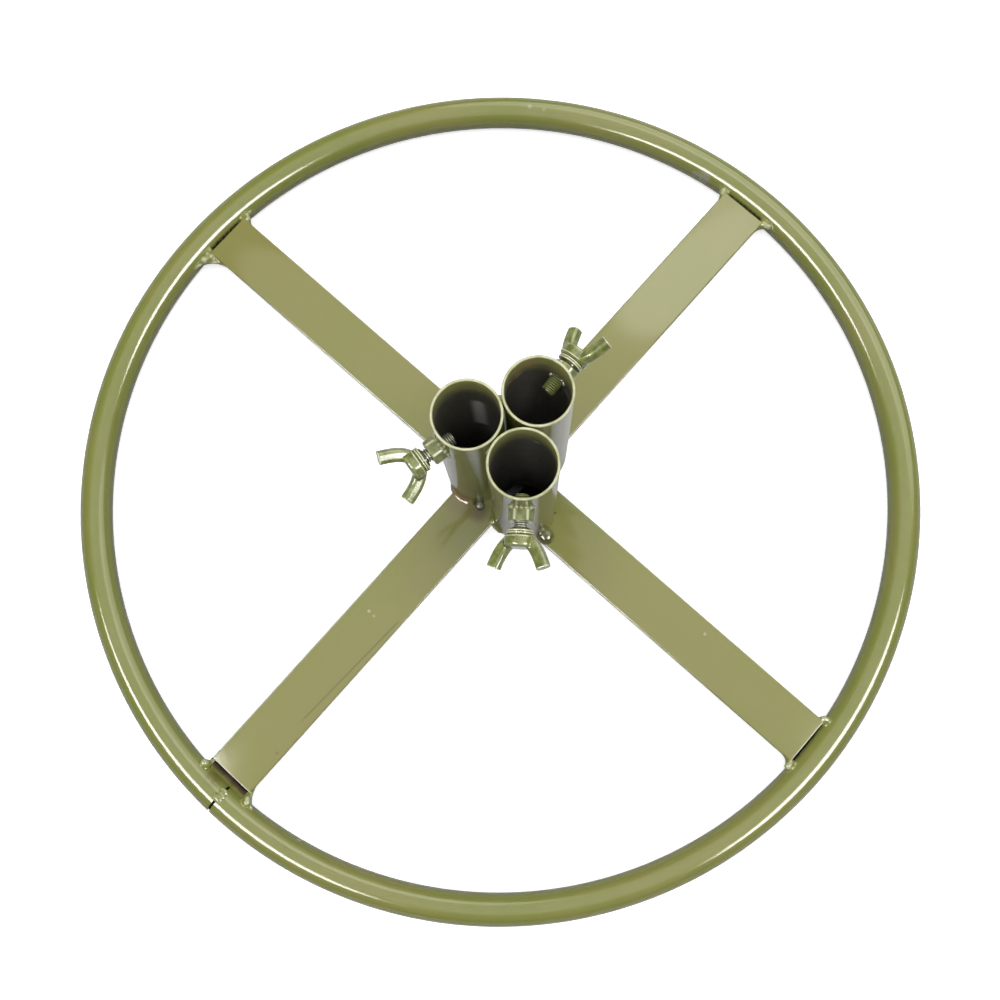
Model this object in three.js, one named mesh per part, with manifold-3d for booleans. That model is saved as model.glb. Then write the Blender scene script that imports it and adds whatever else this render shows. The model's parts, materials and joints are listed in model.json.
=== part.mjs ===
// A stand that holds three poles: a bent tube ring on the ground, a cross of flat bars welded
// into it, and three upright sockets, each with a welded nut and a wing screw that clamps a pole.
//
// Millimetres, +Z up. The origin is the centre of the ring, on the ground. The long bar runs
// along Y and the two short bars along X, so the ring's butt seam is at -Y.
import * as THREE from "three";
import { mergeVertices } from "three/addons/utils/BufferGeometryUtils.js";
import Module from "manifold-3d";

const wasm = await Module();
wasm.setup();

// ---- Driving dimensions -------------------------------------------------------------------

// Ring: round tube, bent until its ends meet at a butt seam
const RING_RADIUS = 258; // to the tube's centre line
const RING_TUBE_DIAMETER = 20;
const RING_TUBE_WALL = 1.5;
const SEAM_GAP = 1.6;

// Cross: flat bars that meet the ring high on the inside of its tube
const BAR_WIDTH = 32;
const BAR_THICKNESS = 3;
const BAR_RISE = 7.5; // the bars' top faces, above the middle of the ring's tube
const LONG_BAR_X = -3.4; // hand fitted, so the cross is a little off the ring's centre
const SHORT_BAR_Y = 8.5;
const BAR_END_GAP = 1.2; // left at a bar's corners, and bridged by the welds
const LONG_BAR_SEAM_GAP = 5; // the long bar stops this much shorter beside the seam

// Sockets: three round tubes standing on the cross, in a triangle
const SOCKET_DIAMETER = 38;
const SOCKET_WALL = 1.5;
const SOCKET_HEIGHT = 160;
const SOCKET_SPACING_GAP = 0.6;
const CLUSTER_X = 3.5;
const CLUSTER_Y = 11;

// Clamps: an M8 hexagon nut and an M8 wing screw on each socket
const SCREW_DROP = 28; // screw axis, below the mouth of the socket
const SCREW_DIAMETER = 8;
const SCREW_REACH = 18; // thread between the collar and the tip
const TIP_CHAMFER = 0.8;
const THREAD_CLEARANCE = 0.15;
const NUT_ACROSS_FLATS = 13;
const NUT_THICKNESS = 6.5;
const COLLAR_DIAMETER = 14.5;
const COLLAR_THICKNESS = 3.4;
const COLLAR_GROOVE = 0.7;
const HUB_DIAMETER = 15.6;
const HUB_LENGTH = 6.8;
const HUB_SOCKET_DEPTH = 4; // how far the shank is let into the hub
const HUB_BACK_CHAMFER = 1;
const HUB_FRONT_CHAMFER = 1.8;
const WING_WIDTH = 6.6;
const WING_THICKNESS = 6;
const WING_REACH = 9.6; // the wings' ends, beyond the hub
const WING_TIP_SPACING = 28.5; // between the middles of the two ends
const WING_BEND_SPACING = 19.4; // the same, where the wings bend
const WING_ROOT_SPACING = 7.2; // the same, inside the hub
const WING_BEND_DEPTH = 1.4; // the bend, below the hub's front
const WING_ROOT_DEPTH = 3.7; // the roots, below the hub's front

// Welds
const RING_WELD_WIDTH = 10;
const RING_WELD_HEIGHT = 9;
const RING_WELD_BITE = 4.4; // how far a weld runs on past the gap that it bridges
const SEAM_WELD_LENGTH = 9;
const SEAM_WELD_WIDTH = 5;
const SEAM_WELD_HEIGHT = 1.7;
const FOOT_WELD_LEG = 3.4;
const FOOT_BLOB_RADIUS = 3.6;
const NUT_WELD_RADIUS = 2.1;
const VALLEY_WELD_RADIUS = 2.7;
const VALLEY_WELD_LENGTH = 24;
const VALLEY_WELD_DROP = 10; // top of the weld, below the mouths
const VALLEY_WELD_OFFSET = 4.6; // middle of the weld, out from where the sockets meet
const BUTT_WELD_WIDTH = 6;
const BUTT_WELD_DEPTH = 1.6;

// Pieces that touch are drawn this far apart
const SEAT_GAP = 0.3;

// The three clamped sockets. place: where the socket stands round the cluster, in degrees.
// screw: the way its wing screw points. wings: how far the wings are turned from level.
// exposed: bare thread between the nut and the collar.
const SOCKETS = [
  { name: "rear", place: 90, screw: 94, wings: -44, exposed: 0.4 },
  { name: "left", place: 210, screw: 257, wings: -30, exposed: 2.7 },
  { name: "right", place: 330, screw: 308.5, wings: 23, exposed: 3.3 },
];

// Fillet welds at the sockets' feet, in degrees round each socket. A blob adds a lump at one end.
const FOOT_WELDS = [
  { name: "foot_weld_rear", socket: "rear", from: 64, to: 126 },
  { name: "foot_weld_left", socket: "left", from: 264, to: 316, blob: 315 },
  { name: "foot_weld_right", socket: "right", from: -18, to: 4, blob: -7 },
  { name: "foot_weld_corner", socket: "right", from: 214, to: 236, blob: 231 },
];

// ---- Sizes that follow --------------------------------------------------------------------

const RING_TUBE_RADIUS = RING_TUBE_DIAMETER / 2;
const BAR_TOP = RING_TUBE_RADIUS + BAR_RISE;
const BAR_MIDDLE = BAR_TOP - BAR_THICKNESS / 2;
const BAR_BOTTOM = BAR_TOP - BAR_THICKNESS;
const LONG_BAR_RIGHT = LONG_BAR_X + BAR_WIDTH / 2;
const LONG_BAR_LEFT = LONG_BAR_X - BAR_WIDTH / 2;
const SHORT_BAR_NEAR = SHORT_BAR_Y - BAR_WIDTH / 2;
const SHORT_BAR_FAR = SHORT_BAR_Y + BAR_WIDTH / 2;
const SOCKET_RADIUS = SOCKET_DIAMETER / 2;
const SOCKET_BORE_RADIUS = SOCKET_RADIUS - SOCKET_WALL;
const SOCKET_FOOT = BAR_TOP + SEAT_GAP;
const SCREW_HEIGHT = SOCKET_FOOT + SOCKET_HEIGHT - SCREW_DROP;
const CLUSTER_RADIUS = (SOCKET_DIAMETER + SOCKET_SPACING_GAP) / Math.sqrt(3);
const THREAD_BORE_RADIUS = SCREW_DIAMETER / 2 + THREAD_CLEARANCE;
const NUT_CORNER_RADIUS = NUT_ACROSS_FLATS / Math.sqrt(3);
const NUT_FACE = SOCKET_RADIUS + SEAT_GAP;

// Radius at which the ring's tube leaves room for the bottom edge of a bar.
const RING_INNER_FLANK =
  RING_RADIUS - Math.sqrt(RING_TUBE_RADIUS ** 2 - (BAR_RISE - BAR_THICKNESS) ** 2) - SEAT_GAP;

const FINISH = {
  tube: { color: 0x8d9658, roughness: 0.34, metalness: 0.35 },
  bar: { color: 0x9f9c69, roughness: 0.45, metalness: 0.35 },
  socket: { color: 0x7f8350, roughness: 0.36, metalness: 0.35 },
  hardware: { color: 0x84924f, roughness: 0.28, metalness: 0.45 },
  thread: { color: 0x9ea07c, roughness: 0.3, metalness: 0.8 },
  weld: { color: 0x86805c, roughness: 0.5, metalness: 0.4 },
};

// ---- Helpers ------------------------------------------------------------------------------

const radians = THREE.MathUtils.degToRad;
const stand = new THREE.Group();

/** A closed geometry as a solid that faces out. */
function solidOf(geometry) {
  const bare = geometry.index ? geometry.toNonIndexed() : geometry.clone();
  bare.deleteAttribute("normal");
  bare.deleteAttribute("uv");
  const merged = mergeVertices(bare, 1e-4);
  const triVerts = new Uint32Array(merged.index.array);
  const vertProperties = merged.attributes.position.array;
  const solid = new wasm.Manifold(new wasm.Mesh({ numProp: 3, vertProperties, triVerts }));
  if (solid.volume() > 0) return solid;
  triVerts.reverse();
  return new wasm.Manifold(new wasm.Mesh({ numProp: 3, vertProperties, triVerts }));
}

/** A solid as a three.js geometry. */
function geometryOf(solid) {
  const mesh = solid.getMesh();
  const geometry = new THREE.BufferGeometry();
  geometry.setAttribute("position", new THREE.BufferAttribute(mesh.vertProperties, 3));
  geometry.setIndex(new THREE.BufferAttribute(mesh.triVerts, 1));
  geometry.computeVertexNormals();
  return geometry;
}

/** The largest body of a solid, without the slivers that a cut can leave. */
function mainBody(solid) {
  return solid.decompose().reduce((best, body) => (body.volume() > best.volume() ? body : best));
}

/** Names a solid, gives it a finish and puts it in a group. */
function addPiece(name, solid, finish, parent = stand) {
  const material = new THREE.MeshStandardMaterial(FINISH[finish]);
  const mesh = new THREE.Mesh(geometryOf(solid), material);
  mesh.name = name;
  parent.add(mesh);
  return mesh;
}

function box(low, high) {
  const size = high.map((v, i) => v - low[i]);
  const middle = high.map((v, i) => (v + low[i]) / 2);
  return solidOf(new THREE.BoxGeometry(...size).translate(...middle));
}

/** A regular outline whose flats, not its corners, lie at the radius. */
function roundOutline(radius, sides) {
  const corner = radius / Math.cos(Math.PI / sides);
  return Array.from({ length: sides }, (_, i) => {
    const angle = ((i + 0.5) * 2 * Math.PI) / sides;
    return new THREE.Vector2(corner * Math.cos(angle), corner * Math.sin(angle));
  });
}

/** A stretch of a level circle about the Z axis, for shapes that are swept round it. */
class LevelArc extends THREE.Curve {
  constructor(radius, height, from, to) {
    super();
    Object.assign(this, { radius, height, from, to });
  }
  getPoint(t, target = new THREE.Vector3()) {
    const angle = THREE.MathUtils.lerp(this.from, this.to, t);
    return target.set(this.radius * Math.cos(angle), this.radius * Math.sin(angle), this.height);
  }
}

function sweep(section, path, steps) {
  return solidOf(new THREE.ExtrudeGeometry(section, { extrudePath: path, steps }));
}

/** Turns a profile of [radius, distance] pairs about the X axis. */
function turnedAlongX(profile, segments) {
  const points = profile.map(([r, x]) => new THREE.Vector2(r, x));
  return solidOf(new THREE.LatheGeometry(points, segments).rotateZ(-Math.PI / 2));
}

/** Turns a profile of [radius, height] pairs about the Z axis. */
function turnedAlongZ(profile, segments) {
  const points = profile.map(([r, z]) => new THREE.Vector2(r, z));
  return solidOf(new THREE.LatheGeometry(points, segments).rotateX(Math.PI / 2));
}

function blob(radii, centre) {
  const sphere = new THREE.SphereGeometry(1, 14, 10);
  return solidOf(sphere.scale(...radii).translate(...centre));
}

// ---- Ring ---------------------------------------------------------------------------------

const SEAM_ANGLE = -Math.PI / 2;
const HALF_SEAM_ANGLE = SEAM_GAP / 2 / RING_RADIUS;
const RING_STEPS = 72;
const RING_SIDES = 20;
const RING_BORE_SIDES = 10;

/** Sweeps a section round the ring, from one end of the tube at the seam to the other. */
function sweepRing(section) {
  const from = SEAM_ANGLE + HALF_SEAM_ANGLE;
  const to = SEAM_ANGLE + 2 * Math.PI - HALF_SEAM_ANGLE;
  return sweep(section, new LevelArc(RING_RADIUS, RING_TUBE_RADIUS, from, to), RING_STEPS);
}

/** The ring's tube, hollow from one end at the seam to the other. */
function ringTube() {
  const section = new THREE.Shape(roundOutline(RING_TUBE_RADIUS, RING_SIDES));
  const bore = roundOutline(RING_TUBE_RADIUS - RING_TUBE_WALL, RING_BORE_SIDES);
  section.holes.push(new THREE.Path(bore));
  return sweepRing(section);
}

/** The space that a weld on the ring keeps clear of: the tube's outside, bridged at the seam. */
function ringSpace() {
  const section = new THREE.Shape(roundOutline(RING_TUBE_RADIUS + SEAT_GAP, RING_SIDES));
  const from = SEAM_ANGLE - 2 * HALF_SEAM_ANGLE;
  const to = SEAM_ANGLE + 2 * HALF_SEAM_ANGLE;
  const bridge = sweep(section, new LevelArc(RING_RADIUS, RING_TUBE_RADIUS, from, to), 1);
  return sweepRing(section).add(bridge);
}

addPiece("ring_tube", ringTube(), "tube");

// ---- Cross of flat bars -------------------------------------------------------------------

/** How far a square-ended bar reaches along its own line before a corner nears the ring. */
function barReach(offset) {
  const corner = Math.abs(offset) + BAR_WIDTH / 2;
  return Math.sqrt((RING_INNER_FLANK - BAR_END_GAP) ** 2 - corner ** 2);
}

const LONG_REACH = barReach(LONG_BAR_X);
const SEAM_REACH = LONG_REACH - LONG_BAR_SEAM_GAP;
const SHORT_REACH = barReach(SHORT_BAR_Y);
const BARS = {
  long_bar: [
    [LONG_BAR_LEFT, -SEAM_REACH],
    [LONG_BAR_RIGHT, LONG_REACH],
  ],
  short_bar_right: [
    [LONG_BAR_RIGHT + SEAT_GAP, SHORT_BAR_NEAR],
    [SHORT_REACH, SHORT_BAR_FAR],
  ],
  short_bar_left: [
    [-SHORT_REACH, SHORT_BAR_NEAR],
    [LONG_BAR_LEFT - SEAT_GAP, SHORT_BAR_FAR],
  ],
};

for (const [name, [low, high]] of Object.entries(BARS)) {
  addPiece(name, box([...low, BAR_BOTTOM], [...high, BAR_TOP]), "bar");
}

/** The space that a weld keeps clear of round every bar. */
function barSpace() {
  return Object.values(BARS)
    .map(([low, high]) =>
      box(
        [...low.map((v) => v - SEAT_GAP), BAR_BOTTOM - SEAT_GAP],
        [...high.map((v) => v + SEAT_GAP), BAR_TOP + SEAT_GAP],
      ),
    )
    .reduce((all, one) => all.add(one));
}

const BAR_SPACE = barSpace();

/** A bead of weld under the butt joint between the long bar and a short bar. */
function buttWeld(x) {
  const outline = new THREE.Shape();
  outline.absellipse(0, 0, BUTT_WELD_WIDTH / 2, BUTT_WELD_DEPTH, Math.PI, 2 * Math.PI);
  outline.closePath();
  const length = BAR_WIDTH - BUTT_WELD_WIDTH;
  const bead = new THREE.ExtrudeGeometry(outline, { depth: length, bevelEnabled: false });
  bead.rotateX(Math.PI / 2);
  bead.translate(x, SHORT_BAR_Y + length / 2, BAR_BOTTOM - SEAT_GAP);
  return solidOf(bead);
}

addPiece("butt_weld_right", buttWeld(LONG_BAR_RIGHT + SEAT_GAP / 2), "weld");
addPiece("butt_weld_left", buttWeld(LONG_BAR_LEFT - SEAT_GAP / 2), "weld");

// ---- Welds on the ring --------------------------------------------------------------------

const RING_SPACE = ringSpace();

/** A lump of weld that bridges the gap between the corner of a bar, at x and y, and the ring. */
function ringWeld(x, y) {
  const corner = Math.hypot(x, y);
  const halfGap = (RING_INNER_FLANK - corner) / 2;
  const radii = [halfGap + RING_WELD_BITE, RING_WELD_WIDTH / 2, RING_WELD_HEIGHT / 2];
  const lump = blob(radii, [corner + halfGap, 0, BAR_MIDDLE]);
  const turned = lump.rotate([0, 0, THREE.MathUtils.radToDeg(Math.atan2(y, x))]);
  return mainBody(turned.subtract(RING_SPACE).subtract(BAR_SPACE));
}

const RING_WELDS = {
  ring_weld_rear_a: [LONG_BAR_LEFT, LONG_REACH],
  ring_weld_rear_b: [LONG_BAR_RIGHT, LONG_REACH],
  ring_weld_seam_a: [LONG_BAR_LEFT, -SEAM_REACH],
  ring_weld_seam_b: [LONG_BAR_RIGHT, -SEAM_REACH],
  ring_weld_right_a: [SHORT_REACH, SHORT_BAR_NEAR],
  ring_weld_right_b: [SHORT_REACH, SHORT_BAR_FAR],
  ring_weld_left_a: [-SHORT_REACH, SHORT_BAR_NEAR],
  ring_weld_left_b: [-SHORT_REACH, SHORT_BAR_FAR],
};

for (const [name, place] of Object.entries(RING_WELDS)) addPiece(name, ringWeld(...place), "weld");

/** The tack of weld that closes the ring's seam on top. */
function seamWeld() {
  const radii = [SEAM_WELD_WIDTH / 2, SEAM_WELD_LENGTH / 2, SEAM_WELD_HEIGHT];
  const top = [RING_RADIUS * Math.cos(SEAM_ANGLE), RING_RADIUS * Math.sin(SEAM_ANGLE)];
  return mainBody(blob(radii, [...top, RING_TUBE_DIAMETER]).subtract(RING_SPACE));
}

addPiece("seam_weld", seamWeld(), "weld");

// ---- Sockets ------------------------------------------------------------------------------

const SOCKET_SEGMENTS = 40;

for (const socket of SOCKETS) {
  const angle = radians(socket.place);
  socket.x = CLUSTER_X + CLUSTER_RADIUS * Math.cos(angle);
  socket.y = CLUSTER_Y + CLUSTER_RADIUS * Math.sin(angle);
}

/** A socket's tube, standing on Z = 0 at the origin, with its screw hole drilled along X. */
function socketTube() {
  const wall = turnedAlongZ(
    [
      [SOCKET_BORE_RADIUS, 0],
      [SOCKET_RADIUS, 0],
      [SOCKET_RADIUS, SOCKET_HEIGHT],
      [SOCKET_BORE_RADIUS, SOCKET_HEIGHT],
      [SOCKET_BORE_RADIUS, 0],
    ],
    SOCKET_SEGMENTS,
  );
  const drill = turnedAlongX(
    [
      [0, SOCKET_BORE_RADIUS / 2],
      [THREAD_BORE_RADIUS, SOCKET_BORE_RADIUS / 2],
      [THREAD_BORE_RADIUS, SOCKET_RADIUS * 2],
      [0, SOCKET_RADIUS * 2],
    ],
    24,
  );
  return wall.subtract(drill.translate([0, 0, SOCKET_HEIGHT - SCREW_DROP]));
}

/** The space that a weld keeps clear of round one socket. */
function socketSpace(socket) {
  const radius = (SOCKET_RADIUS + SEAT_GAP) / Math.cos(Math.PI / (2 * SOCKET_SEGMENTS));
  const height = SOCKET_HEIGHT + SOCKET_RADIUS;
  const post = new THREE.CylinderGeometry(radius, radius, height, 2 * SOCKET_SEGMENTS);
  post.rotateX(Math.PI / 2);
  return solidOf(post.translate(socket.x, socket.y, SOCKET_FOOT + height / 2 - SOCKET_RADIUS / 2));
}

for (const socket of SOCKETS) {
  const tube = addPiece("socket_" + socket.name, socketTube(), "socket");
  tube.position.set(socket.x, socket.y, SOCKET_FOOT);
  tube.rotation.z = radians(socket.screw);
}

const SOCKET_SPACE = SOCKETS.map(socketSpace).reduce((all, one) => all.add(one));

// ---- Welds at the sockets' feet -----------------------------------------------------------

/** A fillet of weld round part of a socket's foot, with a lump where it was started. */
function footWeld({ socket: name, from, to, blob: lumpAngle }) {
  const socket = SOCKETS.find((each) => each.name === name);
  const section = new THREE.Shape();
  section.absellipse(0, 0, FOOT_WELD_LEG, FOOT_WELD_LEG, 0, 2 * Math.PI);
  const points = section.getPoints(6);
  const arc = new LevelArc(SOCKET_RADIUS, BAR_TOP, radians(from), radians(to));
  let weld = sweep(new THREE.Shape(points.slice(0, -1)), arc, Math.ceil((to - from) / 6));
  if (lumpAngle !== undefined) {
    const angle = radians(lumpAngle);
    const out = SOCKET_RADIUS + FOOT_WELD_LEG / 2;
    const centre = [out * Math.cos(angle), out * Math.sin(angle), BAR_TOP];
    weld = weld.add(blob([FOOT_BLOB_RADIUS, FOOT_BLOB_RADIUS, FOOT_BLOB_RADIUS], centre));
  }
  weld = weld.translate([socket.x, socket.y, 0]);
  return mainBody(weld.subtract(SOCKET_SPACE).subtract(BAR_SPACE));
}

for (const weld of FOOT_WELDS) addPiece(weld.name, footWeld(weld), "weld");

// ---- Welds that join the sockets to each other --------------------------------------------

/** An upright weld in the outer valley between two sockets. */
function valleyWeld(a, b) {
  const touch = new THREE.Vector2((a.x + b.x) / 2, (a.y + b.y) / 2);
  const out = touch.clone().sub(new THREE.Vector2(CLUSTER_X, CLUSTER_Y)).normalize();
  const centre = touch.addScaledVector(out, VALLEY_WELD_OFFSET);
  const radius = VALLEY_WELD_RADIUS;
  const bead = new THREE.CylinderGeometry(radius, radius, VALLEY_WELD_LENGTH, 14);
  bead.rotateX(Math.PI / 2);
  const top = SOCKET_FOOT + SOCKET_HEIGHT - VALLEY_WELD_DROP;
  bead.translate(centre.x, centre.y, top - VALLEY_WELD_LENGTH / 2);
  return mainBody(solidOf(bead).subtract(SOCKET_SPACE));
}

SOCKETS.forEach((socket, i) => {
  const next = SOCKETS[(i + 1) % SOCKETS.length];
  addPiece(`valley_weld_${socket.name}_${next.name}`, valleyWeld(socket, next), "weld");
});

// ---- Clamps -------------------------------------------------------------------------------
// Each clamp is made along its own X axis, which points out of the socket from the socket's
// centre line. Distances along X are named "at".

/** A hexagon with a flat on top, as a prism along X. */
function hexagon(acrossFlats, at, length) {
  const corner = acrossFlats / Math.sqrt(3);
  const prism = new THREE.CylinderGeometry(corner, corner, length, 6, 1, false, Math.PI / 6);
  return solidOf(prism.rotateZ(-Math.PI / 2).translate(at + length / 2, 0, 0));
}

/** The weld nut: a hexagon with its outer corners turned off and a clear bore. */
function nut() {
  const overhang = NUT_CORNER_RADIUS - NUT_ACROSS_FLATS / 2;
  const chamfer = turnedAlongX(
    [
      [0, NUT_FACE - 1],
      [NUT_CORNER_RADIUS + 1, NUT_FACE - 1],
      [NUT_CORNER_RADIUS + 1, NUT_FACE + NUT_THICKNESS - overhang],
      [NUT_CORNER_RADIUS, NUT_FACE + NUT_THICKNESS - overhang],
      [NUT_ACROSS_FLATS / 2, NUT_FACE + NUT_THICKNESS],
      [0, NUT_FACE + NUT_THICKNESS],
    ],
    36,
  );
  const bore = turnedAlongX(
    [
      [0, NUT_FACE - 1],
      [THREAD_BORE_RADIUS, NUT_FACE - 1],
      [THREAD_BORE_RADIUS, NUT_FACE + NUT_THICKNESS + 1],
      [0, NUT_FACE + NUT_THICKNESS + 1],
    ],
    24,
  );
  return hexagon(NUT_ACROSS_FLATS, NUT_FACE, NUT_THICKNESS).intersect(chamfer).subtract(bore);
}

/** The weld round the foot of the nut, filled in against the socket's curved wall. */
function nutWeld() {
  const ring = new THREE.TorusGeometry(NUT_CORNER_RADIUS, NUT_WELD_RADIUS, 10, 30);
  ring.rotateY(Math.PI / 2);
  const bead = solidOf(ring.translate(SOCKET_RADIUS, 0, 0));
  const clear = (SOCKET_RADIUS + SEAT_GAP) / Math.cos(Math.PI / (2 * SOCKET_SEGMENTS));
  const post = new THREE.CylinderGeometry(clear, clear, SOCKET_DIAMETER, 2 * SOCKET_SEGMENTS);
  const wall = solidOf(post.rotateX(Math.PI / 2));
  const inside = NUT_WELD_RADIUS * 2;
  const core = hexagon(NUT_ACROSS_FLATS + 2 * SEAT_GAP, NUT_FACE - inside, inside * 2);
  return mainBody(bead.subtract(wall).subtract(core));
}

/** The collar: a loose grooved washer between the nut and the wings. */
function collar(at) {
  const edge = COLLAR_DIAMETER / 2;
  const step = COLLAR_THICKNESS / 4;
  return turnedAlongX(
    [
      [THREAD_BORE_RADIUS, at],
      [edge - COLLAR_GROOVE, at],
      [edge, at + step * 0.5],
      [edge, at + step * 1.5],
      [edge - COLLAR_GROOVE, at + step * 2],
      [edge, at + step * 2.5],
      [edge, at + COLLAR_THICKNESS],
      [THREAD_BORE_RADIUS, at + COLLAR_THICKNESS],
      [THREAD_BORE_RADIUS, at],
    ],
    32,
  );
}

/** The screw's threaded shank, from its tip to its seat inside the hub. */
function shank(collarAt, hubAt) {
  const tip = collarAt - SCREW_REACH;
  const end = hubAt + HUB_SOCKET_DEPTH - SEAT_GAP;
  return turnedAlongX(
    [
      [0, tip],
      [SCREW_DIAMETER / 2 - TIP_CHAMFER, tip],
      [SCREW_DIAMETER / 2, tip + TIP_CHAMFER],
      [SCREW_DIAMETER / 2, end],
      [0, end],
    ],
    24,
  );
}

/** One wing: a rounded prong that leaves the hub and leans out to its end. */
function wing(at, side) {
  const front = at + HUB_LENGTH;
  const root = new THREE.Vector3(front - WING_ROOT_DEPTH, (side * WING_ROOT_SPACING) / 2, 0);
  const bend = new THREE.Vector3(front - WING_BEND_DEPTH, (side * WING_BEND_SPACING) / 2, 0);
  const end = new THREE.Vector3(front + WING_REACH, (side * WING_TIP_SPACING) / 2, 0);
  const path = new THREE.QuadraticBezierCurve3(root, bend, end);
  const outline = new THREE.Shape();
  outline.absellipse(0, 0, WING_THICKNESS / 2, WING_WIDTH / 2, 0, 2 * Math.PI);
  const points = outline.getPoints(8).slice(0, -1);
  return sweep(new THREE.Shape(points), path, 8);
}

/** The wing head: a round hub with a blind hole for the shank, and two wings. */
function wingHead(at) {
  const edge = HUB_DIAMETER / 2;
  const front = at + HUB_LENGTH;
  const hub = turnedAlongX(
    [
      [0, at],
      [edge - HUB_BACK_CHAMFER, at],
      [edge, at + HUB_BACK_CHAMFER],
      [edge, front - HUB_FRONT_CHAMFER],
      [edge - HUB_FRONT_CHAMFER, front],
      [0, front],
    ],
    32,
  );
  const hole = turnedAlongX(
    [
      [0, at - 1],
      [THREAD_BORE_RADIUS, at - 1],
      [THREAD_BORE_RADIUS, at + HUB_SOCKET_DEPTH],
      [0, at + HUB_SOCKET_DEPTH],
    ],
    24,
  );
  return hub.add(wing(at, 1)).add(wing(at, -1)).subtract(hole);
}

for (const socket of SOCKETS) {
  const clamp = new THREE.Group();
  clamp.position.set(socket.x, socket.y, SCREW_HEIGHT);
  clamp.rotation.z = radians(socket.screw);
  stand.add(clamp);

  const collarAt = NUT_FACE + NUT_THICKNESS + socket.exposed;
  const hubAt = collarAt + COLLAR_THICKNESS + SEAT_GAP;
  addPiece("nut_" + socket.name, nut(), "hardware", clamp);
  addPiece("nut_weld_" + socket.name, nutWeld(), "weld", clamp);
  addPiece("collar_" + socket.name, collar(collarAt), "hardware", clamp);
  addPiece("screw_" + socket.name, shank(collarAt, hubAt), "thread", clamp);
  const head = addPiece("wings_" + socket.name, wingHead(hubAt), "hardware", clamp);
  head.rotation.x = radians(socket.wings);
}

export default stand;
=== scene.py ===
# %% [markdown]
# # A ring base for three poles
# The real thing is a welded steel stand. A bent tube lies on the ground as a ring, a cross of flat
# bars is let into it, and three short sockets stand on the middle of the cross. Each socket has a
# nut welded over a hole and a wing screw that clamps a pole. Everything wears olive paint.
#
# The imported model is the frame: it says where each piece is and which body it moves with. This
# lesson makes the fine surfaces that stand over those plain solids, and reads the main places and
# sizes from them.

# %% Load the frame
import json
import math

import bmesh
import bpy
from mathutils import Matrix, Vector, noise


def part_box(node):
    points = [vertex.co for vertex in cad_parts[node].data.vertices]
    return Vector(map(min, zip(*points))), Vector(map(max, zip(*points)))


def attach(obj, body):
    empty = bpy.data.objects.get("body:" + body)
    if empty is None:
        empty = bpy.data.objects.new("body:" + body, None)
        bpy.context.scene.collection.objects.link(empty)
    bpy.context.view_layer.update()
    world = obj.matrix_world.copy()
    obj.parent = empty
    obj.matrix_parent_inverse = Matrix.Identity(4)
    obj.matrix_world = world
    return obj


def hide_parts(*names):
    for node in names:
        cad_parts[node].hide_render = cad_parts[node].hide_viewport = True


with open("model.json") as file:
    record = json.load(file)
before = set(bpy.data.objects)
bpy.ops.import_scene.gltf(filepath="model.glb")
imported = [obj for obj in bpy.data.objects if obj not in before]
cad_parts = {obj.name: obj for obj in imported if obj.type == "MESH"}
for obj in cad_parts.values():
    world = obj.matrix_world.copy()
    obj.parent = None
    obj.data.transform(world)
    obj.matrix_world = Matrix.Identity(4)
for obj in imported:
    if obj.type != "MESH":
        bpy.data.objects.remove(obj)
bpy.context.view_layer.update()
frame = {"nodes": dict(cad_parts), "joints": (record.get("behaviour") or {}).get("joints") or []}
MM = 0.001
UP = Vector((0, 0, 1))
X_AXIS = Vector((1, 0, 0))

# %% [markdown]
# ## The camera
# The picture was taken from almost straight above, with the camera turned so that the cross lies
# on the picture's diagonals. Its place was worked out once from the outline of the ring. A place,
# a point to look at and the direction of "up" in the picture are all that a camera needs.

# %% Place the camera
CAMERA_PLACE = Vector((0.1046, -0.0893, 0.7990))
CAMERA_TARGET = Vector((0.0053, -0.0036, 0.0100))
PICTURE_UP = Vector((-0.654, 0.739, 0.163))
LENS = 45.05  # millimetres, for a sensor of this width
SENSOR_WIDTH = 36.0

camera_data = bpy.data.cameras.new("camera")
camera_data.lens = LENS
camera_data.sensor_width = SENSOR_WIDTH
camera = bpy.data.objects.new("camera", camera_data)
bpy.context.scene.collection.objects.link(camera)
back = (CAMERA_PLACE - CAMERA_TARGET).normalized()
right = PICTURE_UP.cross(back).normalized()
turn = Matrix((right, back.cross(right), back)).transposed().to_4x4()
camera.matrix_world = Matrix.Translation(CAMERA_PLACE) @ turn
bpy.context.scene.camera = camera
print("camera looks down at", round(math.degrees(math.asin(back.z))), "degrees")

# %% [markdown]
# ## Shader maths in plain Python
# A procedural material is mostly arithmetic on positions and noise. Wiring a Math node for each
# plus sign hides the idea, so one small class wraps a socket and gives it Python's operators:
# `1 - mask * 0.5` then adds its two Math nodes by itself. Every other node comes from one method
# that takes the node's type, its settings and what goes into its sockets.

# %% The socket class
class Flow:
    """A number that comes out of a node, with the operators of ordinary numbers."""

    def __init__(self, finish, socket):
        self.finish = finish
        self.socket = socket

    def calculate(self, operation, *operands):
        values = dict(enumerate(operands))
        return self.finish.add("ShaderNodeMath", {"operation": operation}, values)

    def __add__(self, other):
        return self.calculate("ADD", self, other)

    def __sub__(self, other):
        return self.calculate("SUBTRACT", self, other)

    def __rsub__(self, other):
        return self.calculate("SUBTRACT", other, self)

    def __mul__(self, other):
        return self.calculate("MULTIPLY", self, other)

    def __truediv__(self, other):
        return self.calculate("DIVIDE", self, other)

    __radd__ = __add__
    __rmul__ = __mul__

    def size(self):
        return self.calculate("ABSOLUTE", self)

    def step(self, low, high):
        """Rises smoothly from 0 at low to 1 at high, or falls if high is the smaller."""
        if low > high:
            return 1 - self.step(high, low)
        settings = {"interpolation_type": "SMOOTHSTEP"}
        values = {"Value": self, "From Min": low, "From Max": high}
        return self.finish.add("ShaderNodeMapRange", settings, values)


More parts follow.
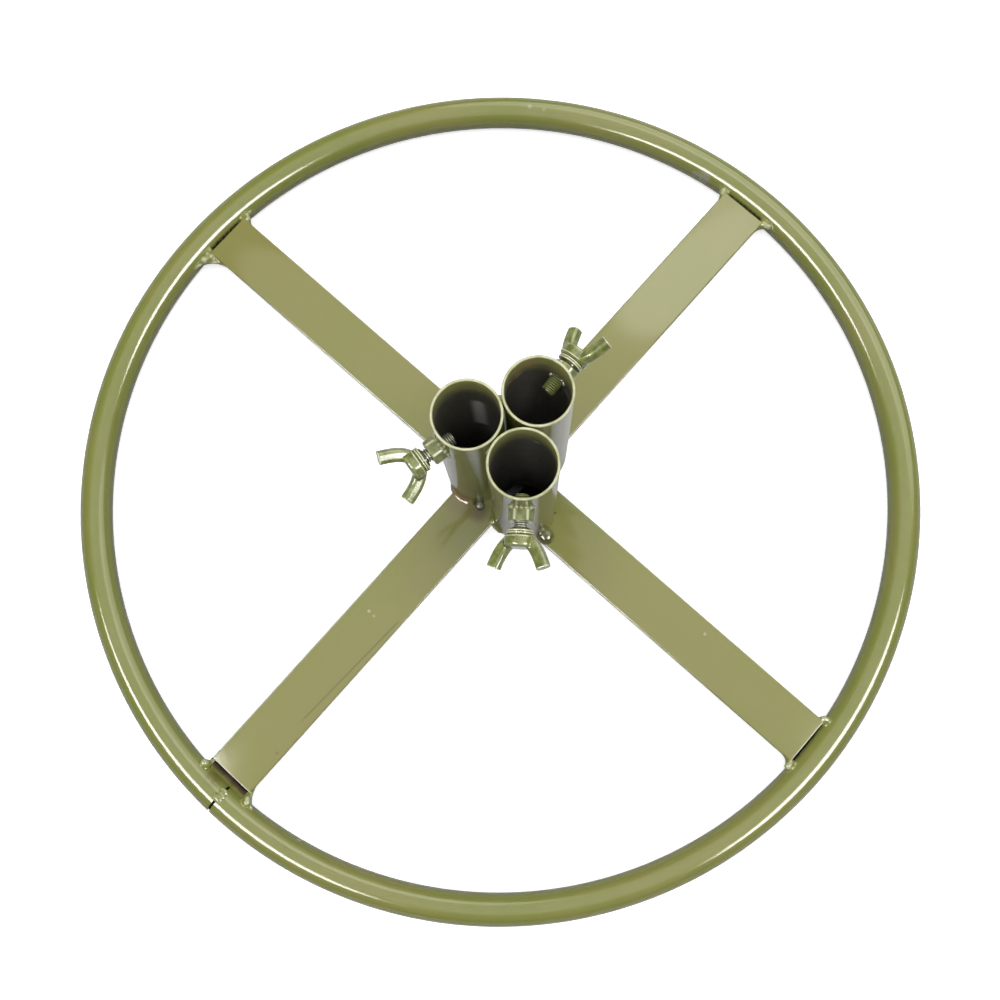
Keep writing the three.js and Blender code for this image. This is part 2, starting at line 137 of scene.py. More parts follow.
print("a flow can be added, subtracted, multiplied, divided, sized and stepped")

# %% The finish class
NOISE_ROUGHNESS = 0.55


class Finish:
    """A material in the making, with short words for the nodes that this stand needs."""

    def __init__(self, name):
        self.material = bpy.data.materials.new(name)
        self.material.use_nodes = True
        self.tree = self.material.node_tree
        self.tree.nodes.clear()
        coordinates = self.tree.nodes.new("ShaderNodeTexCoord")
        self.place = Flow(self, coordinates.outputs["Object"])
        parts = self.add("ShaderNodeSeparateXYZ", {}, {0: self.place}, output=None)
        self.x, self.y, self.z = (Flow(self, socket) for socket in parts.outputs)

    def add(self, kind, settings, values, output=0):
        """Adds a node. Settings are set first, then its sockets get numbers, colours or flows."""
        node = self.tree.nodes.new(kind)
        for key, value in settings.items():
            setattr(node, key, value)
        for key, value in values.items():
            if isinstance(value, Flow):
                self.tree.links.new(value.socket, node.inputs[key])
            else:
                node.inputs[key].default_value = value
        return node if output is None else Flow(self, node.outputs[output])

    def noise(self, size, detail=3.0):
        """Cloudy noise from 0 to 1 whose patches measure about size, in metres."""
        values = {"Vector": self.place, "Scale": 1 / size, "Detail": detail,
                  "Roughness": NOISE_ROUGHNESS}
        return self.add("ShaderNodeTexNoise", {}, values)

    def mix(self, mask, low, high):
        """One colour where the mask is 0 and another where it is 1."""
        settings = {"data_type": "RGBA", "clamp_factor": True}
        return self.add("ShaderNodeMix", settings, {0: mask, 6: low, 7: high}, output=2)

    def distance(self, point):
        """How far the surface is from a point, in metres."""
        values = {0: self.place, 1: point}
        return self.add("ShaderNodeVectorMath", {"operation": "DISTANCE"}, values, output=1)

    def attribute(self, name):
        """A number that the mesh carries on its points."""
        settings = {"attribute_type": "GEOMETRY", "attribute_name": name}
        return self.add("ShaderNodeAttribute", settings, {}, output=2)

    def spot(self, point, radius, softness):
        """1 inside a ball round a point, and 0 outside it."""
        return self.distance(point).step(radius + softness, radius - softness)

    def bumps(self, height, distance):
        """The surface's direction, as if a height of 1 stood out by a distance."""
        return self.add("ShaderNodeBump", {}, {"Height": height, "Distance": distance})

    def shade(self, **values):
        """Ends the material in a Principled shader: base_color=... sets Base Color, and so on."""
        sockets = {key.replace("_", " ").title().replace("Ior", "IOR"): value
                   for key, value in values.items()}
        surface = self.add("ShaderNodeBsdfPrincipled", {}, sockets)
        self.add("ShaderNodeOutputMaterial", {}, {"Surface": surface}, output=None)
        return self.material


def srgb(red, green, blue):
    """A colour as paint charts give it, from 0 to 255, as the linear numbers that shaders use."""
    def linear(level):
        part = level / 255
        return part / 12.92 if part <= 0.04045 else ((part + 0.055) / 1.055) ** 2.4
    return (linear(red), linear(green), linear(blue), 1.0)


print("a finish starts with coordinates and ends in a Principled shader")

# %% [markdown]
# ## Where things are
# The clamps point three different ways, so each is modelled lying along X and is then carried to
# its place by a matrix. The joint in the frame gives that matrix: its point is on the screw's
# axis at the middle of the socket, and its axis points into the socket.

# %% Read the places from the frame
SOCKET_NAMES = ("rear", "left", "right")
joints = {joint["name"]: joint for joint in frame["joints"]}


def clamp_place(name):
    """The matrix that carries a clamp from lying along X to its socket."""
    joint = joints[name + "_turn"]
    outward = -Vector(joint["axis"]).normalized()
    turn = Matrix((outward, UP.cross(outward), UP)).transposed().to_4x4()
    return Matrix.Translation(joint["pos_m"]) @ turn


def along_clamp(name, node):
    """How far a node starts and ends from the middle of the socket, along the clamp's axis."""
    to_clamp = clamp_place(name).inverted()
    reach = [(to_clamp @ v.co).x for v in frame["nodes"][node].data.vertices]
    return min(reach), max(reach)


def wing_turn(name):
    """How far the wings are turned from level, in radians, from the tip of one wing."""
    to_clamp = clamp_place(name).inverted()
    points = [to_clamp @ v.co for v in frame["nodes"]["wings_" + name].data.vertices]
    front = max(point.x for point in points)
    tip = sum((p for p in points if p.x > front - MM and p.y > 0), Vector())
    return math.atan2(tip.z, tip.y)


for name in SOCKET_NAMES:
    print(name, "wings turned", round(math.degrees(wing_turn(name))), "degrees")

# %% Sizes, most of them from the frame
ring_low, ring_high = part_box("ring_tube")
TUBE_RADIUS = (ring_high.z - ring_low.z) / 2
RING_RADIUS = ring_high.x - TUBE_RADIUS
TUBE_WALL = 1.5 * MM
SEAM_GAP = 1.6 * MM
SEAM_ANGLE = -math.pi / 2
BAR_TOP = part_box("long_bar")[1].z
BAR_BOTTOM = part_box("long_bar")[0].z
SOCKET_RADIUS = 19 * MM
SOCKET_WALL = 1.5 * MM
SOCKET_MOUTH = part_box("socket_rear")[1].z
SCREW_HEIGHT = joints["rear_turn"]["pos_m"][2]
THREAD_RADIUS = 4 * MM
THREAD_PITCH = 1.25 * MM
HOLE_RADIUS = 4.15 * MM
socket_centre = {name: Vector(joints[name + "_turn"]["pos_m"][:2] + [0]) for name in SOCKET_NAMES}
print("ring radius", round(RING_RADIUS / MM, 1), "mm, tube", round(TUBE_RADIUS * 2 / MM, 1), "mm")

# %% [markdown]
# ## Olive paint
# The paint is a semi-gloss olive, sprayed on in a workshop. Up close it has a faint orange peel,
# slow changes of tone, and dust and scratches. The same recipe serves ring, bars and sockets with
# other tones, and marks are added as soft spots at the places where the real one shows them:
# stains and wear, and also painted shade and painted highlights.

# %% The colours
OLIVE = srgb(149, 150, 83)
OLIVE_GREEN = srgb(141, 147, 74)
OLIVE_KHAKI = srgb(153, 149, 87)
HARDWARE_GREEN = srgb(108, 118, 52)
HARDWARE_LIGHT = srgb(150, 156, 84)
# Pale lines and spots painted as highlights, on bar edges and in the right bore.
PAINTED_HIGHLIGHT = srgb(214, 212, 196)
CUT_EDGE = srgb(206, 205, 168)
CUT_SHADE = srgb(176, 178, 132)
OVERSPRAY = srgb(224, 226, 140)
# Soot round a weld, and painted shade in gaps and at the bottom of the sockets.
SOOT_AND_SHADE = srgb(22, 19, 15)
SCALE_DARK = srgb(114, 110, 98)
SCALE_GREY = srgb(150, 146, 132)
RUST = srgb(96, 62, 36)
RUST_DARK = srgb(48, 34, 26)
BURN = srgb(232, 196, 136)
# A pale painted reflection in the left bore.
GLARE = srgb(250, 250, 246)
HEAT_TINT = srgb(168, 134, 112)
HEAT_DARK = srgb(96, 72, 54)
HEAT_BROWN = srgb(142, 122, 84)
HEAT_PALE = srgb(146, 130, 88)
PAINTED_SHADE_GREEN = srgb(122, 134, 76)
TOE_BROWN = srgb(78, 70, 34)
# Bare steel on the ring and at a weld; also pale painted highlights and a painted reflection in
# the bores.
BARE_STEEL_AND_GLINT = srgb(178, 176, 170)
BRIGHT_ZINC = srgb(200, 200, 186)
DULL_ZINC = srgb(160, 164, 120)
THREAD_GREEN = srgb(158, 166, 88)
GRIME = srgb(60, 58, 36)
BURR_BRIGHT = srgb(232, 228, 212)
BURR_DULL = srgb(150, 142, 110)
# Near-black and dark grey for the weld roots: painted shade of the deep gaps.
ROOT_SHADE_BLACK = srgb(10, 8, 7)
ROOT_SHADE_GREY = srgb(24, 20, 17)
ROOT_BROWN = srgb(78, 62, 42)
ROOT_OLIVE = srgb(118, 120, 62)
DIRT = srgb(74, 70, 44)
# Dark in creases and thread grooves: partly dirt, partly painted shade.
CREASE_DARK = srgb(46, 48, 22)
# Pale on edges: partly worn paint, partly painted highlight.
EDGE_LIGHT = srgb(232, 234, 192)
print("olive paint is", [round(part, 3) for part in OLIVE[:3]], "in linear light")

# %% The paint recipe
SPECK = 1.5 * MM  # smaller marks are solid, larger ones broken up
BEND = 1.5  # how strongly light bends in the paint, which sets how well it mirrors
GLOSS = 0.12  # roughness of the smoothest patches
CLOUD_GLOSS = 0.04  # how much rougher the others are
PEEL = 0.02 * MM  # height of the orange peel
TONE_SIZE = 90 * MM
CLOUD_SIZE = 11 * MM
GRAIN_SIZE = 1.1 * MM
DUST_SIZE = 2.4 * MM
DUST_STRENGTH = 0.08
HIGHLIGHT_BREAK_SIZE = 9 * MM


def worn_and_shaded(finish, colour, pale=0.45, dirt_and_shade=0.35):
    """Pale on edges and dark in creases, where the mesh says that they are: partly thin paint and
    dirt, partly painted highlight and painted shade.
    """
    wear = finish.attribute("wear")
    colour = finish.mix(wear.step(0.3, 1.0) * pale, colour, EDGE_LIGHT)
    return finish.mix(wear.step(-0.25, -1.0) * dirt_and_shade, colour, CREASE_DARK)


def painted_edge_highlight(finish, colour, distance, width, strength):
    """A painted highlight: a pale line within a width of an edge, where the edge catches the
    light. The distance is measured from that edge.
    """
    broken = finish.noise(HIGHLIGHT_BREAK_SIZE, detail=4.0).step(0.25, 0.5)
    return finish.mix(distance.step(width, width * 0.5) * broken * strength, colour, PAINTED_HIGHLIGHT)


def olive_paint(name, tones, marks=(), gloss=GLOSS, peel=PEEL, detail=None, ragged=False):
    """Sprayed paint in two tones. Each mark is (point, radius, softness, colour, strength)."""
    finish = Finish(name)
    slow = finish.noise(TONE_SIZE, detail=2.0)
    cloud = finish.noise(CLOUD_SIZE, detail=4.0)
    grain = finish.noise(GRAIN_SIZE, detail=2.0)
    colour = finish.mix((slow * 0.7 + cloud * 0.3).step(0.38, 0.62), *tones)
    dust = finish.noise(DUST_SIZE, detail=5.0).step(0.66, 0.74)
    colour = finish.mix(dust * DUST_STRENGTH, colour, DIRT)
    for point, radius, softness, tint, strength in marks:
        mask = finish.spot(point, radius, softness) * strength
        if ragged and radius > SPECK:
            mask = mask * finish.noise(radius * 0.5, detail=5.0).step(0.3, 0.55)
        colour = finish.mix(mask, colour, tint)
    if detail:
        colour = detail(finish, colour)
    roughness = gloss + cloud * CLOUD_GLOSS
    normal = finish.bumps(grain + cloud * 0.6, peel)
    return finish.shade(base_color=colour, roughness=roughness, normal=normal, ior=BEND)


print("the orange peel is", round(PEEL / MM, 3), "mm high")

# %% [markdown]
# ## From a mesh in the making to a piece
# Many pieces start as an outline of points that is then spun or extruded. Every piece ends the
# same way: its faces are shaded smooth up to a crease angle, it gets its materials, and it tells
# the frame which body it rides on and which plain node it stands for.

# %% Start an outline
def outline_of(bm, points, closed=True):
    """Joins points into an outline, and returns its points and its edges."""
    verts = [bm.verts.new(point) for point in points]
    pairs = zip(verts, verts[1:] + verts[:1]) if closed else zip(verts, verts[1:])
    return verts, [bm.edges.new(pair) for pair in pairs]


def box_of(bm, low, high):
    """A cube primitive, scaled to a box."""
    place = Matrix.Translation((low + high) / 2) @ Matrix.Diagonal((*(high - low), 1))
    bmesh.ops.create_cube(bm, size=1.0, matrix=place)


def close_ends(bm):
    """Puts a face over each opening of the mesh."""
    bmesh.ops.holes_fill(bm, edges=[edge for edge in bm.edges if edge.is_boundary], sides=0)


print("an outline is joined to its own start unless closed=False")

# %% Finish a piece
CREASE = 38  # degrees; an edge that bends more stays sharp
ROUND_CREASE = 50
MELTED_CREASE = 80
MERGE = 0.005 * MM  # points nearer than this are one point


def open_edges(bm):
    """How many edges don't have a face on both sides."""
    return sum(1 for edge in bm.edges if not edge.is_manifold)


def finished(name, bm, body, materials, stands_for=(), crease=CREASE):
    """Makes the piece and tells the frame about it."""
    print(f"{name}: {len(bm.faces)} faces, {open_edges(bm)} open edges")
    mesh = bpy.data.meshes.new(name)
    bm.to_mesh(mesh)
    bm.free()
    mesh.shade_smooth()
    mesh.set_sharp_from_angle(angle=math.radians(crease))
    for material in materials:
        mesh.materials.append(material)
    piece = bpy.data.objects.new(name, mesh)
    bpy.context.scene.collection.objects.link(piece)
    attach(piece, body)
    if stands_for:
        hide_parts(*stands_for)


print("edges stay sharp from", CREASE, "degrees")

# %% [markdown]
# ## The ring
# The ring is one length of round tube, bent until its ends nearly meet. A torus primitive would
# have neither the slit at the seam nor the wall that shows in it. So two circles, the outside and
# the bore, are spun almost all the way round, and a flat washer of a face closes each cut end.

# %% Spin the ring
RING_STEPS = 320
RING_SIDES = 48
SEAM_START = SEAM_ANGLE + SEAM_GAP / 2 / RING_RADIUS


def ring_section(bm, radius, angle):
    """A round face of the ring's section, upright at an angle round the ring."""
    upright = Matrix.Rotation(math.pi / 2, 4, "X")
    out = Matrix.Translation((RING_RADIUS, 0, TUBE_RADIUS))
    place = Matrix.Rotation(angle, 4, "Z") @ out @ upright
    made = bmesh.ops.create_circle(bm, cap_ends=True, segments=RING_SIDES, radius=radius,
                                   matrix=place)
    return made["verts"][0].link_faces[0]


def make_ring(material):
    """A bent tube with a wall, open by a slit at its seam."""
    bm = bmesh.new()
    end = ring_section(bm, TUBE_RADIUS, SEAM_START)
    bmesh.ops.inset_individual(bm, faces=[end], thickness=TUBE_WALL, use_even_offset=True)
    bmesh.ops.delete(bm, geom=[end], context="FACES_ONLY")
    sweep = 2 * math.pi - SEAM_GAP / RING_RADIUS
    other = bmesh.ops.duplicate(bm, geom=bm.verts[:] + bm.edges[:] + bm.faces[:])["geom"]
    far_end = [item for item in other if isinstance(item, bmesh.types.BMVert)]
    bmesh.ops.rotate(bm, verts=far_end, cent=(0, 0, 0), matrix=Matrix.Rotation(sweep, 3, "Z"))
    circles = [e for e in bm.edges if e.is_boundary and e.verts[0] not in far_end]
    verts = list({vert for edge in circles for vert in edge.verts})
    bmesh.ops.spin(bm, geom=verts + circles, axis=UP, cent=(0, 0, 0), angle=sweep,
                   steps=RING_STEPS)
    bmesh.ops.remove_doubles(bm, verts=bm.verts, dist=MERGE)
    bmesh.ops.recalc_face_normals(bm, faces=bm.faces)
    finished("ring", bm, "root", [material], ["ring_tube"],
             crease=ROUND_CREASE)


def on_ring(angle, around):
    """A point on the tube's skin: degrees round the ring, and degrees up from its outer side."""
    out = RING_RADIUS + TUBE_RADIUS * math.cos(math.radians(around))
    high = TUBE_RADIUS + TUBE_RADIUS * math.sin(math.radians(around))
    return (out * math.cos(math.radians(angle)), out * math.sin(math.radians(angle)), high)


RING_MARKS = [  # where, radius, softness, colour, strength
    (on_ring(98.6, 150), 4.2 * MM, 1.5 * MM, BARE_STEEL_AND_GLINT, 0.55),
    (on_ring(100.0, 158), 2.6 * MM, 1.0 * MM, BARE_STEEL_AND_GLINT, 0.45),
    (on_ring(-77.5, 165), 1.9 * MM, 0.5 * MM, CUT_EDGE, 0.5),
    (on_ring(126.9, 88), 1.4 * MM, 0.5 * MM, CUT_EDGE, 0.35),
    (on_ring(124.8, 95), 1.2 * MM, 0.4 * MM, CUT_EDGE, 0.3),
    (on_ring(-92.5, 140), 5.0 * MM, 2.5 * MM, RUST, 0.35),
]
# Painted shade: a dark band on the ring's inner flank beside the rear and left bars' ends, where
# the gap lies in shadow.
GAP_SHADE_MIDDLES = (90.7, 178.1)  # degrees round the ring, at the rear and the left bar
GAP_SHADE_SPACING = 0.5
GAP_SHADE_STEPS = 6
GAP_SHADE_HEIGHT = 160
for middle in GAP_SHADE_MIDDLES:
    for step in range(-GAP_SHADE_STEPS, GAP_SHADE_STEPS + 1):
        place = on_ring(middle + step * GAP_SHADE_SPACING, GAP_SHADE_HEIGHT)
        RING_MARKS.append((place, 1.9 * MM, 1.1 * MM, SOOT_AND_SHADE, 0.9))
ring_paint = olive_paint("ring_paint", (OLIVE_GREEN, OLIVE), RING_MARKS, ragged=True)
make_ring(ring_paint)

# %% [markdown]
# ## The cross of flat bars
# Flat bar comes from the mill with slightly rounded edges. On the real stand these edges catch
# the light as thin bright lines, which a sharp box can't do. So each bar is a cube primitive
# scaled to the frame's box, with all its edges bevelled.

# %% Bevel the bars
BAR_EDGE_RADIUS = 0.8 * MM
BAR_GLOSS = 0.08
BAR_PEEL = 0.004 * MM  # rolled flat, so the paint lies flatter too


def make_bar(name, material):
    """A flat bar with rounded edges, in the box of its plain node."""
    low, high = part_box(name)
    bm = bmesh.new()
    box_of(bm, low, high)
    bmesh.ops.bevel(bm, geom=list(bm.edges), offset=BAR_EDGE_RADIUS, offset_type="OFFSET",
                    segments=3, profile=0.5, affect="EDGES", material=-1)
    finished(name + "_steel", bm, "root", [material], [name])


BAR_MARKS = [  # where, radius, softness, colour, strength
    ((-8.3 * MM, -111.3 * MM, BAR_TOP), 1.0 * MM, 0.3 * MM, CUT_EDGE, 0.6),
    ((-3.9 * MM, -111.5 * MM, BAR_TOP), 0.8 * MM, 0.3 * MM, CUT_EDGE, 0.5),
    ((8.4 * MM, -213.1 * MM, BAR_TOP), 1.0 * MM, 0.4 * MM, DIRT, 0.25),
    ((157.4 * MM, 16.9 * MM, BAR_TOP), 0.9 * MM, 0.3 * MM, CUT_EDGE, 0.6),
    ((37.8 * MM, 12.4 * MM, BAR_TOP), 0.7 * MM, 0.2 * MM, DIRT, 0.9),
    ((1.5 * MM, -19.5 * MM, BAR_TOP), 5.5 * MM, 3.5 * MM, HEAT_DARK, 0.7),
    ((-6.0 * MM, -23.0 * MM, BAR_TOP), 5.0 * MM, 4.0 * MM, HEAT_BROWN, 0.6),
    ((-14.0 * MM, -25.5 * MM, BAR_TOP), 5.0 * MM, 4.0 * MM, HEAT_PALE, 0.6),
    # A greener painted shade on the near arm beside the sockets.
    ((6.0 * MM, -40.0 * MM, BAR_TOP), 16 * MM, 10 * MM, PAINTED_SHADE_GREEN, 0.3),
]
# Painted shade: the bar's top is dark inside each socket, at the bottom of the bore where little
# light reaches.
for name in SOCKET_NAMES:
    middle = (*socket_centre[name].xy, BAR_TOP)
    BAR_MARKS.append((middle, SOCKET_RADIUS - 0.9 * MM, 0.5 * MM, SOOT_AND_SHADE, 1.0))
SCRATCH_SLOPE = 0.039
SCRATCH_PLACE = 13.98 * MM
SCRATCH_WIDTH = (0.8 * MM, 0.3 * MM)


def long_bar_highlights_and_scratch(finish, colour):
    """Painted highlights along the left edge and the end of the near arm, and a long faint
    scratch.
    """
    low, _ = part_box("long_bar")
    near_arm = finish.y.step(-60 * MM, -100 * MM)
    colour = painted_edge_highlight(finish, colour, finish.x - low.x, 1.1 * MM, near_arm * 0.8)
    colour = painted_edge_highlight(finish, colour, finish.y - low.y, 0.9 * MM, 1.0)
    from_line = (finish.x - finish.y * SCRATCH_SLOPE - SCRATCH_PLACE).size()
    ends = finish.y.step(-100 * MM, -108 * MM) * finish.y.step(-192 * MM, -184 * MM)
    return finish.mix(from_line.step(*SCRATCH_WIDTH) * ends * 0.35, colour, DIRT)


def right_bar_highlights(finish, colour):
    """Painted highlights along the edge towards the hub and along the end."""
    low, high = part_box("short_bar_right")
    near_hub = finish.x.step(150 * MM, 90 * MM)
    colour = painted_edge_highlight(finish, colour, finish.y - low.y, 1.3 * MM, near_hub)
    return painted_edge_highlight(finish, colour, high.x - finish.x, 0.8 * MM, 0.8)


def left_bar_highlight(finish, colour):
    """A painted highlight along one edge that fades out towards the ring."""
    low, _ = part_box("short_bar_left")
    near_hub = finish.x.step(-230 * MM, -120 * MM)
    return painted_edge_highlight(finish, colour, finish.y - low.y, 1.2 * MM, near_hub * 0.9)


# Each bar gets pale lines along some edges and ends: painted highlights where its rounded edges
# catch the light.
BAR_EDGE_HIGHLIGHTS = {"long_bar": long_bar_highlights_and_scratch, "short_bar_right": right_bar_highlights,
            "short_bar_left": left_bar_highlight}
for name, wear in BAR_EDGE_HIGHLIGHTS.items():
    make_bar(name, olive_paint(name + "_paint", (OLIVE, OLIVE_KHAKI), BAR_MARKS, gloss=BAR_GLOSS,
                               peel=BAR_PEEL, detail=wear))

# %% [markdown]
# ## The sockets
# A socket is a length of tube with a square-cut mouth. Its pale rim, dark bore and drilled hole
# are what the eye goes to. The wall is spun from its upright section, in which the rim's corners
# are already cut off. For the hole, the faces inside its outline are deleted in both skins, the
# edges left behind are pulled onto the drill's circle, and the two openings are bridged.

# %% Spin a socket
SOCKET_STEPS = 96
BORE_RADIUS = SOCKET_RADIUS - SOCKET_WALL
RIM_RADIUS = 0.35 * MM
HOLE_ROWS = [row * 1.2 * MM for row in range(-6, 7)]
NEAR = 0.01 * MM
BORE_REACH = 0.4 * MM  # faces this near to the bore get the dark finish
INSIDE, RIM = 1, 2  # material slots; slot 0 is the outside


def wall_section(bm):
    """The wall's upright section as a closed outline, with rows of points where the hole goes."""
    heights = [BAR_TOP] + [SCREW_HEIGHT + row for row in HOLE_ROWS] + [SOCKET_MOUTH - RIM_RADIUS]
    outer = [(SOCKET_RADIUS, 0, z) for z in heights]
    inner = [(BORE_RADIUS, 0, z) for z in heights]
    top = [(SOCKET_RADIUS - RIM_RADIUS, 0, SOCKET_MOUTH),
           (BORE_RADIUS + RIM_RADIUS, 0, SOCKET_MOUTH)]
    verts, edges = outline_of(bm, outer + top + inner[::-1])
    return verts + edges


def drill(bm, radius):
    """Opens one skin: deletes the faces in the hole and pulls its edge onto the drill's circle."""
    inside = []
    for face in bm.faces:
        middle = face.calc_center_median()
        on_skin = all(abs(math.hypot(v.co.x, v.co.y) - radius) < NEAR for v in face.verts)
        if on_skin and middle.x > 0:
            across = SOCKET_RADIUS * math.atan2(middle.y, middle.x)
            if math.hypot(across, middle.z - SCREW_HEIGHT) < HOLE_RADIUS:
                inside.append(face)
    touched = {vert for face in inside for vert in face.verts}
    bmesh.ops.delete(bm, geom=inside, context="FACES")
    rim = [vert for vert in touched if vert.is_valid]
    for vert in rim:
        offset = Vector((vert.co.y, vert.co.z - SCREW_HEIGHT)).normalized() * HOLE_RADIUS
        vert.co = (math.sqrt(radius**2 - offset.x**2), offset.x, SCREW_HEIGHT + offset.y)
    return [e for e in bm.edges if e.is_boundary and all(vert in rim for vert in e.verts)]


def make_socket(name, materials):
    """A short upright tube with a drilled wall."""
    bm = bmesh.new()
    bmesh.ops.spin(bm, geom=wall_section(bm), axis=UP, cent=(0, 0, 0), angle=2 * math.pi,
                   steps=SOCKET_STEPS, use_merge=True)
    bmesh.ops.remove_doubles(bm, verts=bm.verts, dist=MERGE)
    hole = drill(bm, SOCKET_RADIUS) + drill(bm, BORE_RADIUS)
    bmesh.ops.bridge_loops(bm, edges=hole)
    bmesh.ops.recalc_face_normals(bm, faces=bm.faces)
    for face in bm.faces:
        middle = face.calc_center_median()
        if middle.z > SOCKET_MOUTH - RIM_RADIUS:
            face.material_index = RIM
        elif math.hypot(middle.x, middle.y) < BORE_RADIUS + BORE_REACH:
            face.material_index = INSIDE
    place = clamp_place(name)
    place.translation.z = 0
    bmesh.ops.transform(bm, matrix=place, verts=bm.verts)
    finished("socket_" + name + "_tube", bm, "root", materials,
             ["socket_" + name])


print("a socket's wall is spun in", SOCKET_STEPS, "steps")

# %% [markdown]
# ## Inside the sockets
# No spray gun reaches down a narrow tube. The mill's dark scale stays there, and the paint fades
# out a finger's width below the mouth, on the side that the gun faced. The rear socket also shows
# brown burn marks where its neighbour was welded on.
# Some pale spots and streaks in the bores are painted highlights and painted reflections.

# %% The dark bore and the pale rim
OVERSPRAY_DEPTH = 26 * MM
BORE_ROUGHNESS = 0.3
BORE_SHINE = 0.2
RIM_ROUGHNESS = 0.35


def bore_finish(name, centre, painted_side, marks=()):
    """Dark scale, with paint near the mouth on the side that points along painted_side."""
    finish = Finish(name)
    cloud = finish.noise(9 * MM, detail=4.0)
    fine = finish.noise(1.6 * MM)
    facing = (finish.x - centre.x) * painted_side.x + (finish.y - centre.y) * painted_side.y
    depth = (SOCKET_MOUTH - finish.z) / OVERSPRAY_DEPTH
    painted = (0.8 - depth + cloud * 0.5).step(0.0, 1.0)
    painted = painted * (facing / SOCKET_RADIUS).step(-0.6, 0.7)
    colour = finish.mix(fine.step(0.45, 0.75) * 0.5, SCALE_DARK, SCALE_GREY)
    colour = finish.mix(painted * 0.9, colour, OVERSPRAY)
    # Marks are burns and rust, and also pale painted highlights and painted reflections.
    for point, radius, softness, tint in marks:
        mask = finish.spot(point, radius, softness)
        if tint in (BURN, RUST_DARK):
            mask = mask * finish.noise(2.2 * MM, detail=5.0).step(0.4, 0.6)
        colour = finish.mix(mask, colour, tint)
    normal = finish.bumps(fine + cloud, 0.05 * MM)
    return finish.shade(base_color=colour, roughness=BORE_ROUGHNESS + cloud * 0.12,
                        normal=normal, specular_ior_level=BORE_SHINE)


def rim_finish():
    """The sawn edge, with only a mist of paint on it; its pale colour is partly bare metal and
    partly a painted highlight on the upward face.
    """
    finish = Finish("cut_rim")
    cloud = finish.noise(6 * MM)
    colour = finish.mix(cloud.step(0.35, 0.7), CUT_EDGE, CUT_SHADE)
    normal = finish.bumps(cloud, 0.04 * MM)
    return finish.shade(base_color=colour, roughness=RIM_ROUGHNESS, metallic=0.2, normal=normal)


socket_paint = olive_paint("socket_paint", (OLIVE_GREEN, OLIVE))
cut_rim = rim_finish()
PAINTED_SIDE = Vector((-0.62, 0.78, 0))
# The streak is a painted reflection, where the left bore would mirror its own lit mouth.
GLARE_HEIGHTS = range(86, 136, 4)  # millimetres up the left bore, for its pale streak
BORE_MARKS = {  # place in the frame, radius, softness, colour
    "rear": [((-0.0140, 0.0342, 0.1580), 5.0 * MM, 2.5 * MM, BURN),
             ((-0.0135, 0.0375, 0.1690), 4.0 * MM, 2.0 * MM, BURN),
             ((-0.0106, 0.0437, 0.1700), 4.0 * MM, 2.0 * MM, BURN),
             ((-0.0138, 0.0307, 0.1518), 4.0 * MM, 2.0 * MM, RUST_DARK),
             # A painted reflection: a pale strip on the rear bore's wall.
             ((0.0102, 0.0495, 0.1417), 4.0 * MM, 3.0 * MM, BARE_STEEL_AND_GLINT)],
    # A painted reflection: the pale streak down the left bore.
    "left": [((-0.0240, 0.0152, height * MM), 3.0 * MM, 3.0 * MM, GLARE)
             for height in GLARE_HEIGHTS],
    # Painted highlights: two small glints near the right bore's mouth.
    "right": [((0.0102, 0.0120, 0.1598), 1.2 * MM, 0.8 * MM, BARE_STEEL_AND_GLINT),
              ((0.0174, 0.0165, 0.1543), 1.5 * MM, 1.0 * MM, PAINTED_HIGHLIGHT)],
}
for name in SOCKET_NAMES:
    bore = bore_finish("bore_" + name, socket_centre[name], PAINTED_SIDE, BORE_MARKS[name])
    make_socket(name, [socket_paint, bore, cut_rim])

# %% [markdown]
# ## Nuts
# A hexagon nut is turned before it is faceted, so its corners end in curved chamfers. Spinning a
# round blank and then pressing it to the hexagon gives those curves for free: each point keeps
# the smaller of two radii, the hexagon's and the chamfer cone's.

# %% Spin an outline about the clamp's axis
HARDWARE_STEPS = 96


def mark_wear_and_shading(bm, wear_at):
    """Stores a number from -1 in a crease to 1 on an edge on every point of the mesh."""
    layer = bm.verts.layers.float.new("wear")
    for vert in bm.verts:
        vert[layer] = wear_at(vert)


def radius_of(vert):
    """How far a point is from the X axis."""
    return math.hypot(vert.co.y, vert.co.z)


def by_radius(low, high):
    """The wear-and-shading number, growing from -1 at one distance from the clamp's axis to 1 at
    another.
    """
    return lambda vert: 2 * (radius_of(vert) - low) / (high - low) - 1


def arc(centre_x, centre_r, radius, start, end, steps=5):
    """Points of [distance along the axis, radius] on an arc, angles in degrees from the axis."""
    turns = [math.radians(start + (end - start) * i / steps) for i in range(steps + 1)]
    return [(centre_x + radius * math.cos(t), centre_r + radius * math.sin(t)) for t in turns]


def turned(bm, outline, steps=HARDWARE_STEPS, closed=True):
    """Spins an outline about the X axis. A closed outline ends where it starts."""
    verts, edges = outline_of(bm, [(x, r, 0) for x, r in outline], closed)
    bmesh.ops.spin(bm, geom=verts + edges, axis=X_AXIS, cent=(0, 0, 0),
                   angle=2 * math.pi, steps=steps, use_merge=True)
    bmesh.ops.remove_doubles(bm, verts=bm.verts, dist=MERGE)


def to_clamp(bm, name):
    """Turns the faces outward and carries the mesh to its clamp."""
    bmesh.ops.recalc_face_normals(bm, faces=bm.faces)
    bmesh.ops.transform(bm, matrix=clamp_place(name), verts=bm.verts)


print("outlines are spun in", HARDWARE_STEPS, "steps")

